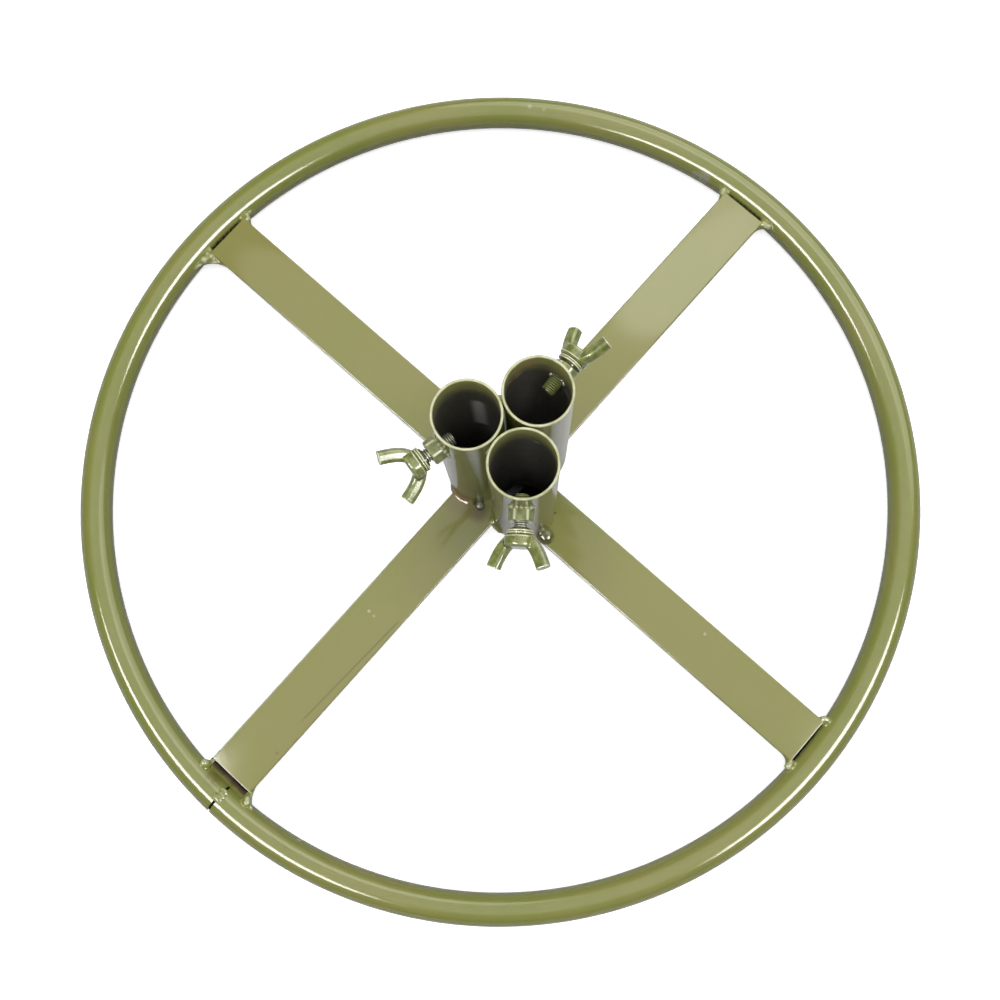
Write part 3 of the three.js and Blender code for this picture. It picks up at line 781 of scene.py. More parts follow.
# %% Press the nut
NUT_ACROSS_FLATS = 13 * MM
NUT_SINK = 1.2 * MM
NUT_ROWS = 14
NUT_SEAT = 0.5 * MM  # how far the bore's mouth is opened
NUT_CREASE = 28
CORNER_WEAR = 0.3 * MM
CHAMFER_START = 0.25 * MM  # how far inside the flats the chamfer begins
CHAMFER_SLOPE = 1.7
CHAMFER_ROWS = (0.15 * MM, 0.4 * MM)


def make_nut(name, material):
    """A round blank, pressed to a chamfered hexagon."""
    start, end = along_clamp(name, "nut_" + name)
    start -= NUT_SINK
    flat = NUT_ACROSS_FLATS / 2
    corner = flat / math.cos(math.radians(30))
    bm = bmesh.new()
    rows = [start + (end - start) * i / NUT_ROWS for i in range(NUT_ROWS + 1)]
    rows += [end - depth for depth in CHAMFER_ROWS]
    outer = [(x, corner) for x in sorted(rows)]
    bore = [(end, HOLE_RADIUS + NUT_SEAT), (end - NUT_SEAT, HOLE_RADIUS), (start, HOLE_RADIUS)]
    turned(bm, outer + bore)
    for vert in bm.verts:
        radius = radius_of(vert)
        if radius < corner - NEAR:
            continue
        turn = math.atan2(vert.co.z, vert.co.y)
        hexagon = flat / math.cos((turn % (math.pi / 3)) - math.pi / 6)
        cone = flat - CHAMFER_START + (end - vert.co.x) * CHAMFER_SLOPE
        pressed = min(hexagon, cone, corner - CORNER_WEAR)
        vert.co.y *= pressed / radius
        vert.co.z *= pressed / radius
    # The nut's corners are marked pale: partly worn paint, partly painted highlight.
    corner_wear_and_highlight = by_radius(corner - 3 * CORNER_WEAR, corner - CORNER_WEAR)
    mark_wear_and_shading(bm, lambda vert: max(corner_wear_and_highlight(vert), 0.0) + 0.5 * (vert.co.x > end - NUT_SEAT))
    to_clamp(bm, name)
    finished("nut_" + name + "_hexagon", bm, "root", [material],
             ["nut_" + name], crease=NUT_CREASE)


print("nuts are", NUT_ACROSS_FLATS / MM, "mm across their flats")

# %% [markdown]
# ## Glossy hardware
# The wing screws and nuts are small, rounded and dipped rather than sprayed, so their paint is
# greener and glossier, with sharp white highlights. It is pale on the edges, partly thin paint and
# partly a painted highlight, and dark in the creases, partly dirt and partly painted shade.

# %% The hardware finish
HARDWARE_GLOSS = 0.14


def hardware_finish():
    """Green paint over two tones, pale on the edges and dark in the creases: partly wear and dirt,
    partly painted highlight and painted shade.
    """
    finish = Finish("hardware_paint")
    cloud = finish.noise(4 * MM, detail=4.0)
    fine = finish.noise(0.8 * MM)
    colour = finish.mix(cloud.step(0.3, 0.7), HARDWARE_GREEN, HARDWARE_LIGHT)
    colour = finish.mix(finish.noise(1.9 * MM, detail=4.0).step(0.66, 0.74) * 0.4, colour, DIRT)
    colour = worn_and_shaded(finish, colour, pale=0.9, dirt_and_shade=0.8)
    normal = finish.bumps(cloud + fine * 0.4, 0.1 * MM)
    return finish.shade(base_color=colour, roughness=HARDWARE_GLOSS + cloud * 0.12,
                        normal=normal, ior=BEND, coat_weight=0.5, coat_roughness=0.08)


hardware_paint = hardware_finish()
for name in SOCKET_NAMES:
    make_nut(name, hardware_paint)

# %% [markdown]
# ## Collars
# Between the nut and the wings sits a loose collar with a groove round it. Its outline is a few
# arcs, spun about the screw's axis.

# %% Spin the collars
COLLAR_RADIUS = 7.25 * MM
NECK_RADIUS = 5.6 * MM
NECK_SHARE = 0.3
NECK_BEVEL = 0.3 * MM
COLLAR_GROOVE = 0.5 * MM
COLLAR_FACE = 1.2 * MM  # how much smaller its outer face is


def make_collar(name, material):
    """A narrow neck towards the nut, then two round beads with a groove between them."""
    start, end = along_clamp(name, "collar_" + name)
    shoulder = start + (end - start) * NECK_SHARE
    bead = (end - shoulder) / 4
    bm = bmesh.new()
    outline = [(start, HOLE_RADIUS), (start, NECK_RADIUS - NECK_BEVEL)]
    outline += [(start + NECK_BEVEL, NECK_RADIUS), (shoulder, NECK_RADIUS)]
    outline += arc(shoulder + bead, COLLAR_RADIUS - bead, bead, 170, 30)
    outline += [(shoulder + 2 * bead, COLLAR_RADIUS - COLLAR_GROOVE)]
    outline += arc(shoulder + 3 * bead, COLLAR_RADIUS - bead, bead, 150, 10)
    outline += [(end, COLLAR_RADIUS - COLLAR_FACE), (end, HOLE_RADIUS)]
    turned(bm, outline)
    mark_wear_and_shading(bm, by_radius(COLLAR_RADIUS - 1.6 * COLLAR_GROOVE, COLLAR_RADIUS))
    to_clamp(bm, name)
    finished("collar_" + name + "_ring", bm, "collar_" + name,
             [material], ["collar_" + name])


for name in SOCKET_NAMES:
    make_collar(name, hardware_paint)

# %% [markdown]
# ## Threads
# A real thread is a helix, and here it shows twice: bright between nut and collar, and green
# inside the sockets. `spin` can also move along its axis while it turns, so a V-shaped outline
# one pitch long, spun with that lift, lays down turn after turn that meet edge to edge. Two flat
# cuts then square off the ends, and the tip is chamfered.

# %% Cut the threads
THREAD_DEPTH = 0.68 * MM
THREAD_FLAT = 0.12  # the crest and the root, as shares of a pitch
THREAD_OUTLINE = (  # share of a pitch along the axis, how far below the crest
    (0, 0), (THREAD_FLAT, 0), (0.5, THREAD_DEPTH), (0.5 + THREAD_FLAT, THREAD_DEPTH), (1, 0),
)
THREAD_GLOSS = 0.24
THREAD_METAL = 0.75
SPARE_TURNS = 3  # cut off again at the ends
TURN_STEPS = 32
TIP_CHAMFER = 0.8 * MM
INSIDE_PAINT = {"rear": 1.0, "left": 0.1, "right": 1.0}


def thread_finish():
    """Zinc with dirt, dark in the grooves as painted shade, and some paint on the part inside the
    socket.
    """
    finish = Finish("bright_thread")
    cloud = finish.noise(3 * MM, detail=4.0)
    grime = finish.noise(1.0 * MM, detail=4.0)
    colour = finish.mix(cloud.step(0.45, 0.7) * 0.5, BRIGHT_ZINC, DULL_ZINC)
    inside = finish.attribute("inside")
    colour = finish.mix(inside * 0.85, colour, THREAD_GREEN)
    colour = finish.mix(grime.step(0.6, 0.8) * 0.4, colour, GRIME)
    # Painted shade: the thread's grooves are darkened and its crests stay light.
    colour = finish.mix(finish.attribute("wear").step(0.1, -0.9) * 0.9, colour, CREASE_DARK)
    roughness = THREAD_GLOSS + cloud * 0.15
    normal = finish.bumps(grime, 0.03 * MM)
    metallic = THREAD_METAL - inside * 0.5
    return finish.shade(base_color=colour, roughness=roughness, metallic=metallic, normal=normal)


def make_screw(name, material):
    """A long thread, cut to length, with a chamfered tip."""
    start, end = along_clamp(name, "screw_" + name)
    turns = math.ceil((end - start) / THREAD_PITCH) + SPARE_TURNS
    first = start - SPARE_TURNS / 2 * THREAD_PITCH
    bm = bmesh.new()
    outline = [(first + share * THREAD_PITCH, THREAD_RADIUS - drop, 0)
               for share, drop in THREAD_OUTLINE]
    verts, edges = outline_of(bm, outline, closed=False)
    lift = X_AXIS * -THREAD_PITCH / TURN_STEPS
    bmesh.ops.translate(bm, vec=X_AXIS * THREAD_PITCH * turns, verts=verts)
    bmesh.ops.spin(bm, geom=verts + edges, axis=-X_AXIS, cent=(0, 0, 0), dvec=lift,
                   angle=2 * math.pi * turns, steps=TURN_STEPS * turns)
    bmesh.ops.remove_doubles(bm, verts=bm.verts, dist=MERGE)
    for place, normal in ((start, -X_AXIS), (end, X_AXIS)):
        geometry = bm.verts[:] + bm.edges[:] + bm.faces[:]
        bmesh.ops.bisect_plane(bm, geom=geometry, dist=NEAR / 10, plane_co=(place, 0, 0),
                               plane_no=normal, clear_outer=True)
        cut = [e for e in bm.edges if e.is_boundary
               and all(abs(vert.co.x - place) < NEAR for vert in e.verts)]
        bmesh.ops.contextual_create(bm, geom=cut)
    mark_wear_and_shading(bm, by_radius(THREAD_RADIUS - THREAD_DEPTH, THREAD_RADIUS))
    inside = bm.verts.layers.float.new("inside")
    for vert in bm.verts:
        vert[inside] = INSIDE_PAINT[name] * (vert.co.x < SOCKET_RADIUS)
        radius = radius_of(vert)
        allowed = THREAD_RADIUS - TIP_CHAMFER + (vert.co.x - start)
        if radius > allowed:
            vert.co.y *= allowed / radius
            vert.co.z *= allowed / radius
    to_clamp(bm, name)
    finished("screw_" + name + "_thread", bm, "wing_screw_" + name, [material],
             ["screw_" + name], crease=ROUND_CREASE)


bright_thread = thread_finish()
for name in SOCKET_NAMES:
    make_screw(name, bright_thread)

# %% [markdown]
# ## Melting lumps into one skin
# Castings and welds have no sharp inner corners. The trick for both is the same: lay simple
# overlapping solids, let a voxel remesh fuse them into one skin, and smooth that skin a little.
# Smoothing fills the inner corners as molten metal does. Smoothing a copy still further shows
# which points stand out and which lie in a crease, and the finish uses that for pale edges and
# dark creases, partly wear and dirt and partly painted highlight and painted shade.

# %% Fuse and smooth
WEAR_AND_SHADING_PASSES = 8
WEAR_AND_SHADING_SHARE = 0.22  # the share of a voxel that counts as a full edge or crease


def smooth(bm, passes):
    """Moves each point halfway to the middle of its neighbours, some times over."""
    for _ in range(passes):
        bmesh.ops.smooth_vert(bm, verts=bm.verts, factor=0.5, use_axis_x=True,
                              use_axis_y=True, use_axis_z=True)


def melted(bm, voxel, passes):
    """One smooth skin round everything in the mesh, as a new mesh in the making."""
    rough = bpy.data.meshes.new("rough")
    bm.to_mesh(rough)
    bm.free()
    holder = bpy.data.objects.new("rough", rough)
    bpy.context.scene.collection.objects.link(holder)
    remesh = holder.modifiers.new("fuse", "REMESH")
    remesh.mode = "VOXEL"
    remesh.voxel_size = voxel
    seen = holder.evaluated_get(bpy.context.evaluated_depsgraph_get())
    skin = bmesh.new()
    skin.from_mesh(seen.to_mesh())
    seen.to_mesh_clear()
    bpy.data.objects.remove(holder)
    bpy.data.meshes.remove(rough)
    smooth(skin, passes)
    calm = skin.copy()
    smooth(calm, WEAR_AND_SHADING_PASSES)
    skin.normal_update()
    calm.verts.ensure_lookup_table()
    reach = voxel * WEAR_AND_SHADING_SHARE
    mark_wear_and_shading(skin, lambda v: (v.co - calm.verts[v.index].co).dot(v.normal) / reach)
    calm.free()
    return skin


def bezier(start, bend, end, t):
    """A point on a line that is bent towards a third point."""
    return start * (1 - t) ** 2 + bend * 2 * t * (1 - t) + end * t**2


def lump(bm, centre, radii):
    """A ball of metal, squashed to three radii."""
    place = Matrix.Translation(centre) @ Matrix.Diagonal((*radii, 1))
    bmesh.ops.create_icosphere(bm, subdivisions=3, radius=1.0, matrix=place)


print("wear is measured against", WEAR_AND_SHADING_PASSES, "further passes of smoothing")

# %% [markdown]
# ## Wing heads
# The head is a casting: a round hub, and two prongs with a rounded square section that lean out
# to flat ends. Each prong is a rounded square carried along a bent line by repeated extrusion.

# %% Carry an outline along a path
def rounded_square(width, height, corner, steps=4):
    """An outline in the YZ plane, counted round from one corner's arc to the next."""
    points = []
    for quarter, (y, z) in enumerate(((1, 1), (-1, 1), (-1, -1), (1, -1))):
        middle = (y * (width / 2 - corner), z * (height / 2 - corner))
        for i in range(steps + 1):
            turn = math.pi / 2 * (quarter + i / steps)
            points.append(Vector((0, middle[0] + corner * math.cos(turn),
                                  middle[1] + corner * math.sin(turn))))
    return points


def carried(bm, outline, places):
    """Extrudes an outline through a list of matrices, as a closed bar."""
    ring = [bm.verts.new(places[0] @ point) for point in outline]
    face = bm.faces.new(ring)
    for here, there in zip(places, places[1:]):
        made = bmesh.ops.extrude_face_region(bm, geom=[face])["geom"]
        verts = [item for item in made if isinstance(item, bmesh.types.BMVert)]
        face = next(item for item in made if isinstance(item, bmesh.types.BMFace))
        bmesh.ops.transform(bm, matrix=there @ here.inverted(), verts=verts)


def curve_places(start, bend, end, steps):
    """Matrices along a bent line, each with its X axis along the line."""
    places = []
    for i in range(steps + 1):
        t = i / steps
        heading = ((bend - start) * (1 - t) + (end - bend) * t).normalized()
        side = UP.cross(heading).normalized()
        turn = Matrix((heading, side, heading.cross(side))).transposed().to_4x4()
        places.append(Matrix.Translation(bezier(start, bend, end, t)) @ turn)
    return places


print("an outline is carried by matrices, each with its X axis along the path")

# %% Cast the wing heads
HUB_RADIUS = 8.3 * MM
HUB_LENGTH = 6.8 * MM
HUB_ROUNDING = 2.0 * MM
HUB_BACK = (0.9 * MM, 1.0 * MM)  # the bevel at its back, along and across
HUB_STEPS = 64
WING_WIDTH = 7.4 * MM
WING_THICKNESS = 6.4 * MM
WING_CORNER = 2.2 * MM
WING_SHORT = 0.4 * MM  # how far its end stays behind the plain node's
WING_STEPS = 10
ROOT_LUMP = (2.6 * MM, 3.4 * MM, 3.0 * MM)  # fills the corner between prong and hub
ROOT_LUMP_AHEAD = 0.6  # millimetres
WING_TIP_SPACING = 28.5 * MM
WING_BEND_SPACING = 19.4 * MM
WING_ROOT_SPACING = 8.4 * MM
WING_ROOT_DEPTH = 4.2 * MM
WING_BEND_DEPTH = 1.8 * MM
HEAD_VOXEL = 0.28 * MM
HEAD_PASSES = 3


def make_head(name, material):
    """A hub and two prongs, melted together."""
    start, end = along_clamp(name, "wings_" + name)
    front = start + HUB_LENGTH
    bm = bmesh.new()
    outline = [(start, 0), (start, HUB_RADIUS - HUB_BACK[1]), (start + HUB_BACK[0], HUB_RADIUS)]
    outline += arc(front - HUB_ROUNDING, HUB_RADIUS - HUB_ROUNDING, HUB_ROUNDING, 90, 0)
    outline += [(front, 0)]
    turned(bm, outline, steps=HUB_STEPS, closed=False)
    tip = end - WING_SHORT
    for side in (1, -1):
        root = Vector((front - WING_ROOT_DEPTH, side * WING_ROOT_SPACING / 2, 0))
        bend = Vector((front - WING_BEND_DEPTH, side * WING_BEND_SPACING / 2, 0))
        out = Vector((tip, side * WING_TIP_SPACING / 2, 0))
        places = curve_places(root, bend, out, WING_STEPS)
        carried(bm, rounded_square(WING_WIDTH, WING_THICKNESS, WING_CORNER), places)
        lump(bm, root.lerp(bend, 0.35) + X_AXIS * ROOT_LUMP_AHEAD * MM, ROOT_LUMP)
    bmesh.ops.recalc_face_normals(bm, faces=bm.faces)
    skin = melted(bm, HEAD_VOXEL, HEAD_PASSES)
    place = clamp_place(name) @ Matrix.Rotation(wing_turn(name), 4, "X")
    bmesh.ops.transform(skin, matrix=place, verts=skin.verts)
    finished("wings_" + name + "_head", skin, "wing_screw_" + name,
             [material], ["wings_" + name], crease=MELTED_CREASE)


for name in SOCKET_NAMES:
    make_head(name, hardware_paint)

# %% [markdown]
# ## Welds where the bars meet the ring
# The bars don't touch the ring: welds at their corners bridge the gap, and flow out along both in
# a hollow curve. In plan that curve is a Bezier from a point on the ring to a point on the bar,
# bent towards the corner. The outline is extruded to a thick web and melted together with a few
# lumps and with stubs of ring and bar. The stubs are a hair smaller than the real ones, so only
# the weld comes to the surface.

# %% Where the corner welds are
def flank_radius(height):
    """How far the ring's inner flank is from the middle of the ring, at a height."""
    return RING_RADIUS - math.sqrt(TUBE_RADIUS**2 - (height - TUBE_RADIUS) ** 2)


FLANK_RADIUS = flank_radius(BAR_BOTTOM + MM)
CORNERS = {  # bar, side in x, side in y, reach on the ring, reach on the bar, fullness, lumps
    "ring_weld_rear_a": ("long_bar", -1, 1, 9, 12, 0.8, 2),
    "ring_weld_rear_b": ("long_bar", 1, 1, 16, 11, 0.0, 3),
    "ring_weld_seam_a": ("long_bar", -1, -1, 8, 7, 0.6, 2),
    "ring_weld_seam_b": ("long_bar", 1, -1, 12, 14, 1.6, 5),
    "ring_weld_right_a": ("short_bar_right", 1, -1, 12, 10, 1.2, 4),
    "ring_weld_right_b": ("short_bar_right", 1, 1, 10, 9, 0.4, 2),
    "ring_weld_left_a": ("short_bar_left", -1, -1, 21, 17, 3.6, 3),
    "ring_weld_left_b": ("short_bar_left", -1, 1, 14, 12, 0.2, 2),
}
print(len(CORNERS), "corners, on a flank", round(FLANK_RADIUS / MM, 1), "mm from the middle")

# %% Small random numbers
NOISE_SEED = 5
noise.seed_set(NOISE_SEED)  # left alone, Blender's vector noise starts from the clock


def wobble(seed, place, amount, size=3 * MM):
    """A repeatable small shift, for hand-made looking metal."""
    return noise.noise_vector(Vector(place) / size + Vector((seed, 7 * seed, 3))) * amount


def random_share(seed, number):
    """A repeatable number, mostly between -1 and 1, read from the noise."""
    return noise.noise(Vector((seed * 3.7 + 0.31, number * 1.9 + 0.57, 0.11))) * 1.6


print("a first number:", round(random_share(0, 0), 3))

# %% The web and the stubs
STUB_SHRINK = 0.25 * MM  # how far a stub stays below the real surface
STUB_WIDTH = 5 * MM
STUB_STEPS = 12
WEB_TOP = BAR_TOP - 0.9 * MM
WEB_BOTTOM = BAR_BOTTOM - 2.2 * MM
WEB_OVERLAP = 2.2 * MM  # how far it reaches into ring and bar
WEB_SLOPE = 4.0 * MM  # how far its top drops towards its ends


def extruded(bm, points, bottom, top, peak):
    """A plate from a plan outline, whose top slopes down away from the peak."""
    face = bm.faces.new([bm.verts.new((point.x, point.y, bottom)) for point in points])
    made = bmesh.ops.extrude_face_region(bm, geom=[face], use_keep_orig=True)["geom"]
    verts = [item for item in made if isinstance(item, bmesh.types.BMVert)]
    reach = max((vert.co.xy - peak.xy).length for vert in verts)
    for vert in verts:
        vert.co.z = top - WEB_SLOPE * ((vert.co.xy - peak.xy).length / reach) ** 2


def ring_stub(bm, middle, half):
    """A short solid stretch of the ring, slightly thinner than the real tube."""
    face = ring_section(bm, TUBE_RADIUS - STUB_SHRINK, middle - half)
    verts, edges = list(face.verts), list(face.edges)
    bmesh.ops.spin(bm, geom=verts + edges, axis=UP, cent=(0, 0, 0), angle=2 * half,
                   steps=STUB_STEPS)
    close_ends(bm)


def bar_stub(bm, low, high, corner, away, inward, reach):
    """A short solid stretch of one side of the bar, slightly thinner than the real one."""
    inset = Vector((STUB_SHRINK,) * 3)
    low, high = low + inset, high - inset
    for axis in (0, 1):
        if abs(inward[axis]) > 0.5:
            far = corner[axis] + inward[axis] * reach
            low[axis] = max(low[axis], min(far, corner[axis]))
            high[axis] = min(high[axis], max(far, corner[axis]))
        elif away[axis] > 0:
            low[axis] = high[axis] - STUB_WIDTH
        else:
            high[axis] = low[axis] + STUB_WIDTH
    box_of(bm, low, high)


print("webs are", round((WEB_TOP - WEB_BOTTOM) / MM, 1), "mm thick")

# %% Melt the corner welds
WELD_VOXEL = 0.5 * MM
WELD_PASSES = 16
WELD_WOBBLE = 0.22 * MM
WELD_PEEL = 0.05 * MM
CURVE_STEPS = 12
DROP_RADIUS = (2.1, 0.5)  # millimetres, and how much it varies
DROP_PLACE = (0.42, 0.2)  # share of the way to the corner, and how much it varies
DROP_SINK = 0.4 * MM
BULK = (3.2 * MM, 3.2 * MM, 3.0 * MM)
STUB_SPARE = (4, 5)  # millimetres past the weld, along the bar and along the ring


def corner_of(bar, side_x, side_y, low, high):
    """A corner of a bar's end, the way off the bar and the way back along it."""
    edge_x = high.x if side_x > 0 else low.x
    edge_y = high.y if side_y > 0 else low.y
    if bar == "long_bar":
        corner = Vector((edge_x, side_y * math.sqrt(FLANK_RADIUS**2 - edge_x**2), 0))
        return corner, Vector((side_x, 0, 0)), Vector((0, -side_y, 0))
    corner = Vector((side_x * math.sqrt(FLANK_RADIUS**2 - edge_y**2), edge_y, 0))
    return corner, Vector((0, side_y, 0)), Vector((-side_x, 0, 0))


def make_corner_weld(name, material, seed):
    """A curved web with drops on it, melted together with stubs of ring and bar."""
    bar, side_x, side_y, on_ring_mm, on_bar_mm, fullness, lumps = CORNERS[name]
    low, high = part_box(bar)
    corner, away, inward = corner_of(bar, side_x, side_y, low, high)
    outward = corner.normalized()
    tangent = UP.cross(outward)
    turn_sign = 1 if tangent.dot(away) > 0 else -1
    turned_by = Matrix.Rotation(turn_sign * on_ring_mm * MM / FLANK_RADIUS, 3, "Z")
    start, end = turned_by @ corner, corner + inward * on_bar_mm * MM
    along = (tangent * turn_sign + inward).normalized()
    bend = corner + along * fullness * MM
    curve = [bezier(start, bend, end, i / CURVE_STEPS) for i in range(CURVE_STEPS + 1)]
    behind = [end - away * WEB_OVERLAP, corner - away * WEB_OVERLAP + outward * WEB_OVERLAP,
              start + turned_by @ outward * WEB_OVERLAP]
    bm = bmesh.new()
    extruded(bm, curve + behind, WEB_BOTTOM, WEB_TOP, corner)
    for number in range(lumps):
        to_corner = DROP_PLACE[0] + DROP_PLACE[1] * random_share(seed, number)
        spot = curve[4].lerp(curve[9], (number + 0.5) / lumps).lerp(corner, to_corner)
        radius = (DROP_RADIUS[0] + DROP_RADIUS[1] * random_share(seed, number + 20)) * MM
        lump(bm, spot + UP * (WEB_TOP - DROP_SINK), [radius] * 3)
    lump(bm, curve[6].lerp(corner, 0.5) + UP * (WEB_TOP + WEB_BOTTOM) / 2, BULK)
    bar_stub(bm, low, high, corner, away, inward, (on_bar_mm + STUB_SPARE[0]) * MM)
    middle = math.atan2(corner.y, corner.x) + turn_sign * on_ring_mm * MM / FLANK_RADIUS / 2
    half = (on_ring_mm / 2 + STUB_SPARE[1]) * MM / RING_RADIUS
    to_seam = abs(math.remainder(middle - SEAM_ANGLE, 2 * math.pi))
    ring_stub(bm, middle, min(half, to_seam - SEAM_GAP / RING_RADIUS))
    bmesh.ops.recalc_face_normals(bm, faces=bm.faces)
    skin = melted(bm, WELD_VOXEL, WELD_PASSES)
    for vert in skin.verts:
        vert.co += wobble(seed, vert.co, WELD_WOBBLE)
    finished(name + "_bead", skin, "root", [material], [name],
             crease=MELTED_CREASE)


# Welds are pale on their edges and dark in their creases: partly wear and dirt, partly painted
# highlight and painted shade.
weld_paint = olive_paint("weld_paint", (OLIVE_GREEN, OLIVE), peel=WELD_PEEL, detail=worn_and_shaded)
for seed, name in enumerate(CORNERS):
    make_corner_weld(name, weld_paint, seed)

# %% [markdown]
# ## Welds at the sockets' feet
# A fillet weld runs part of the way round the foot of each socket. Its section is a hollow-faced
# wedge, spun about the socket's axis over the stretch that was welded, with a blob where the
# welder stopped. The wall is again melted in as a thin stub.

# %% Melt the foot welds
FOOT_VOXEL = 0.45 * MM
FOOT_PASSES = 9
FOOT_WOBBLE = (0.16 * MM, 4 * MM)  # how far, and over what distance
FOOT_SUNK = 0.8 * MM  # how far the wedge reaches into wall and bar
FOOT_STEPS = 6
FOOT_DROP = 0.42  # a drop's radius as a share of the leg
WALL_STUB = 1.8  # the stub's height in legs
WALL_SPARE = 8  # degrees that it goes on past the weld at each end
FOOT_PEEL = 0.03 * MM
MIDDLE_OF_WALL = SOCKET_RADIUS - SOCKET_WALL / 2
FOOT_WELDS = {  # socket, from and to in degrees, leg, blob at, how far out, its radii, lumps
    "foot_weld_rear": ("rear", 60, 130, 3.2, 110, 1.0, (2.4, 2.4, 2.0), 8),
    "foot_weld_left": ("left", 244, 322, 3.2, 314, 2.6, (3.2, 3.2, 3.0), 0),
    "foot_weld_right": ("right", -26, 12, 3.0, -7, 1.6, (5.6, 5.4, 5.0), 0),
    "foot_weld_corner": ("right", 200, 268, 3.6, 238, 1.6, (2.6, 2.6, 1.4), 0),
}


def around_socket(name, degrees, radius, height):
    """A point at an angle round a socket."""
    turn = math.radians(degrees)
    centre = socket_centre[name]
    return Vector((centre.x + radius * math.cos(turn), centre.y + radius * math.sin(turn), height))


def spun_bar(bm, centre, outline, start, end, steps=24):
    """A closed stretch of an outline of (radius, height), spun about an upright axis."""
    verts, edges = outline_of(bm, [(centre.x + r, centre.y, z) for r, z in outline])
    turn = Matrix.Rotation(math.radians(start), 3, "Z")
    bmesh.ops.rotate(bm, verts=verts, cent=centre, matrix=turn)
    bmesh.ops.spin(bm, geom=verts + edges, axis=UP, cent=centre,
                   angle=math.radians(end - start), steps=steps)
    close_ends(bm)


def foot_wedge(leg):
    """The section of a fillet with a hollow face, as (radius, height)."""
    face = [(SOCKET_RADIUS + leg - leg * math.sin(t), BAR_TOP + leg - leg * math.cos(t))
            for t in (math.pi / 2 * i / FOOT_STEPS for i in range(FOOT_STEPS + 1))]
    inner, low = SOCKET_RADIUS - FOOT_SUNK, BAR_TOP - FOOT_SUNK
    return [(inner, low), (SOCKET_RADIUS + leg, low)] + face + [(inner, BAR_TOP + leg)]


def taper_ends(bm, centre, start, end):
    """Lets a fillet run out thin at both ends of its stretch."""
    for vert in bm.verts:
        out = vert.co.xy - centre.xy
        share = (math.degrees(math.atan2(out.y, out.x)) - start) % 360 / (end - start)
        taper = math.sqrt(math.sin(math.pi * min(max(share, 0.03), 0.97)))
        distance = SOCKET_RADIUS + max(out.length - SOCKET_RADIUS, 0) * taper
        if out.length > SOCKET_RADIUS:
            vert.co.xy = centre.xy + out.normalized() * distance
        vert.co.z = BAR_TOP + (vert.co.z - BAR_TOP) * taper


def make_foot_weld(name, material, seed):
    """A tapered fillet with a blob on it, melted together with a stub of the wall."""
    socket, start, end, leg, blob_at, blob_out, blob, lumps = FOOT_WELDS[name]
    leg *= MM
    centre = socket_centre[socket]
    bm = bmesh.new()
    spun_bar(bm, centre, foot_wedge(leg), start, end)
    taper_ends(bm, centre, start, end)
    inner, outer = BORE_RADIUS + STUB_SHRINK, SOCKET_RADIUS - STUB_SHRINK
    tall = BAR_TOP + leg * WALL_STUB
    wall = [(inner, BAR_TOP), (outer, BAR_TOP), (outer, tall), (inner, tall)]
    spun_bar(bm, centre, wall, start - WALL_SPARE, end + WALL_SPARE)
    spot = around_socket(socket, blob_at, SOCKET_RADIUS + blob_out * MM, BAR_TOP + 0.3 * MM)
    lump(bm, spot, [radius * MM for radius in blob])
    for number in range(lumps):
        degrees = start + (end - start) * (number + 0.5) / lumps
        reach = SOCKET_RADIUS + leg * (0.34 + 0.1 * random_share(seed, number))
        place = around_socket(socket, degrees, reach, BAR_TOP + leg * 0.22)
        lump(bm, place, [leg * FOOT_DROP] * 3)
    bmesh.ops.recalc_face_normals(bm, faces=bm.faces)
    skin = melted(bm, FOOT_VOXEL, FOOT_PASSES)
    for vert in skin.verts:
        vert.co += wobble(seed + 20, vert.co, *FOOT_WOBBLE)
        out = vert.co.xy - centre.xy
        if out.length < MIDDLE_OF_WALL:
            vert.co.xy = centre.xy + out.normalized() * MIDDLE_OF_WALL
    finished(name + "_fillet", skin, "root", [material], [name],
             crease=MELTED_CREASE)


TOE = SOCKET_RADIUS + 2.6 * MM
LEFT_BLOB = tuple(around_socket("left", 314, TOE, BAR_TOP + 2 * MM))
RIGHT_BLOB = tuple(around_socket("right", -10, TOE, BAR_TOP + MM))
HEAT_ANGLES = (256, 263, 270, 277, 284, 291)  # degrees round the left socket
FOOT_MARKS = [  # where, radius, softness, colour, strength
    (LEFT_BLOB, 5.0 * MM, 1.6 * MM, SOOT_AND_SHADE, 0.8),
    (LEFT_BLOB, 2.0 * MM, 1.4 * MM, BARE_STEEL_AND_GLINT, 1.0),
    (RIGHT_BLOB, 5.0 * MM, 3.0 * MM, TOE_BROWN, 0.9),
]
for degrees in HEAT_ANGLES:
    place = tuple(around_socket("left", degrees, TOE, BAR_TOP + 0.6 * MM))
    FOOT_MARKS.append((place, 2.2 * MM, 1.6 * MM, HEAT_TINT, 1.0))
foot_paint = olive_paint("foot_paint", (OLIVE_GREEN, OLIVE_KHAKI), FOOT_MARKS, peel=FOOT_PEEL)
for seed, name in enumerate(FOOT_WELDS):
    make_foot_weld(name, foot_paint, seed)

# %% [markdown]
# ## The small beads
# The rest of the welds are rows of overlapping lumps, one for each pulse of the torch: a ring
# round each nut's foot, upright beads in the valleys between the sockets, beads under the butt
# joints of the bars and a tack across the ring's seam.

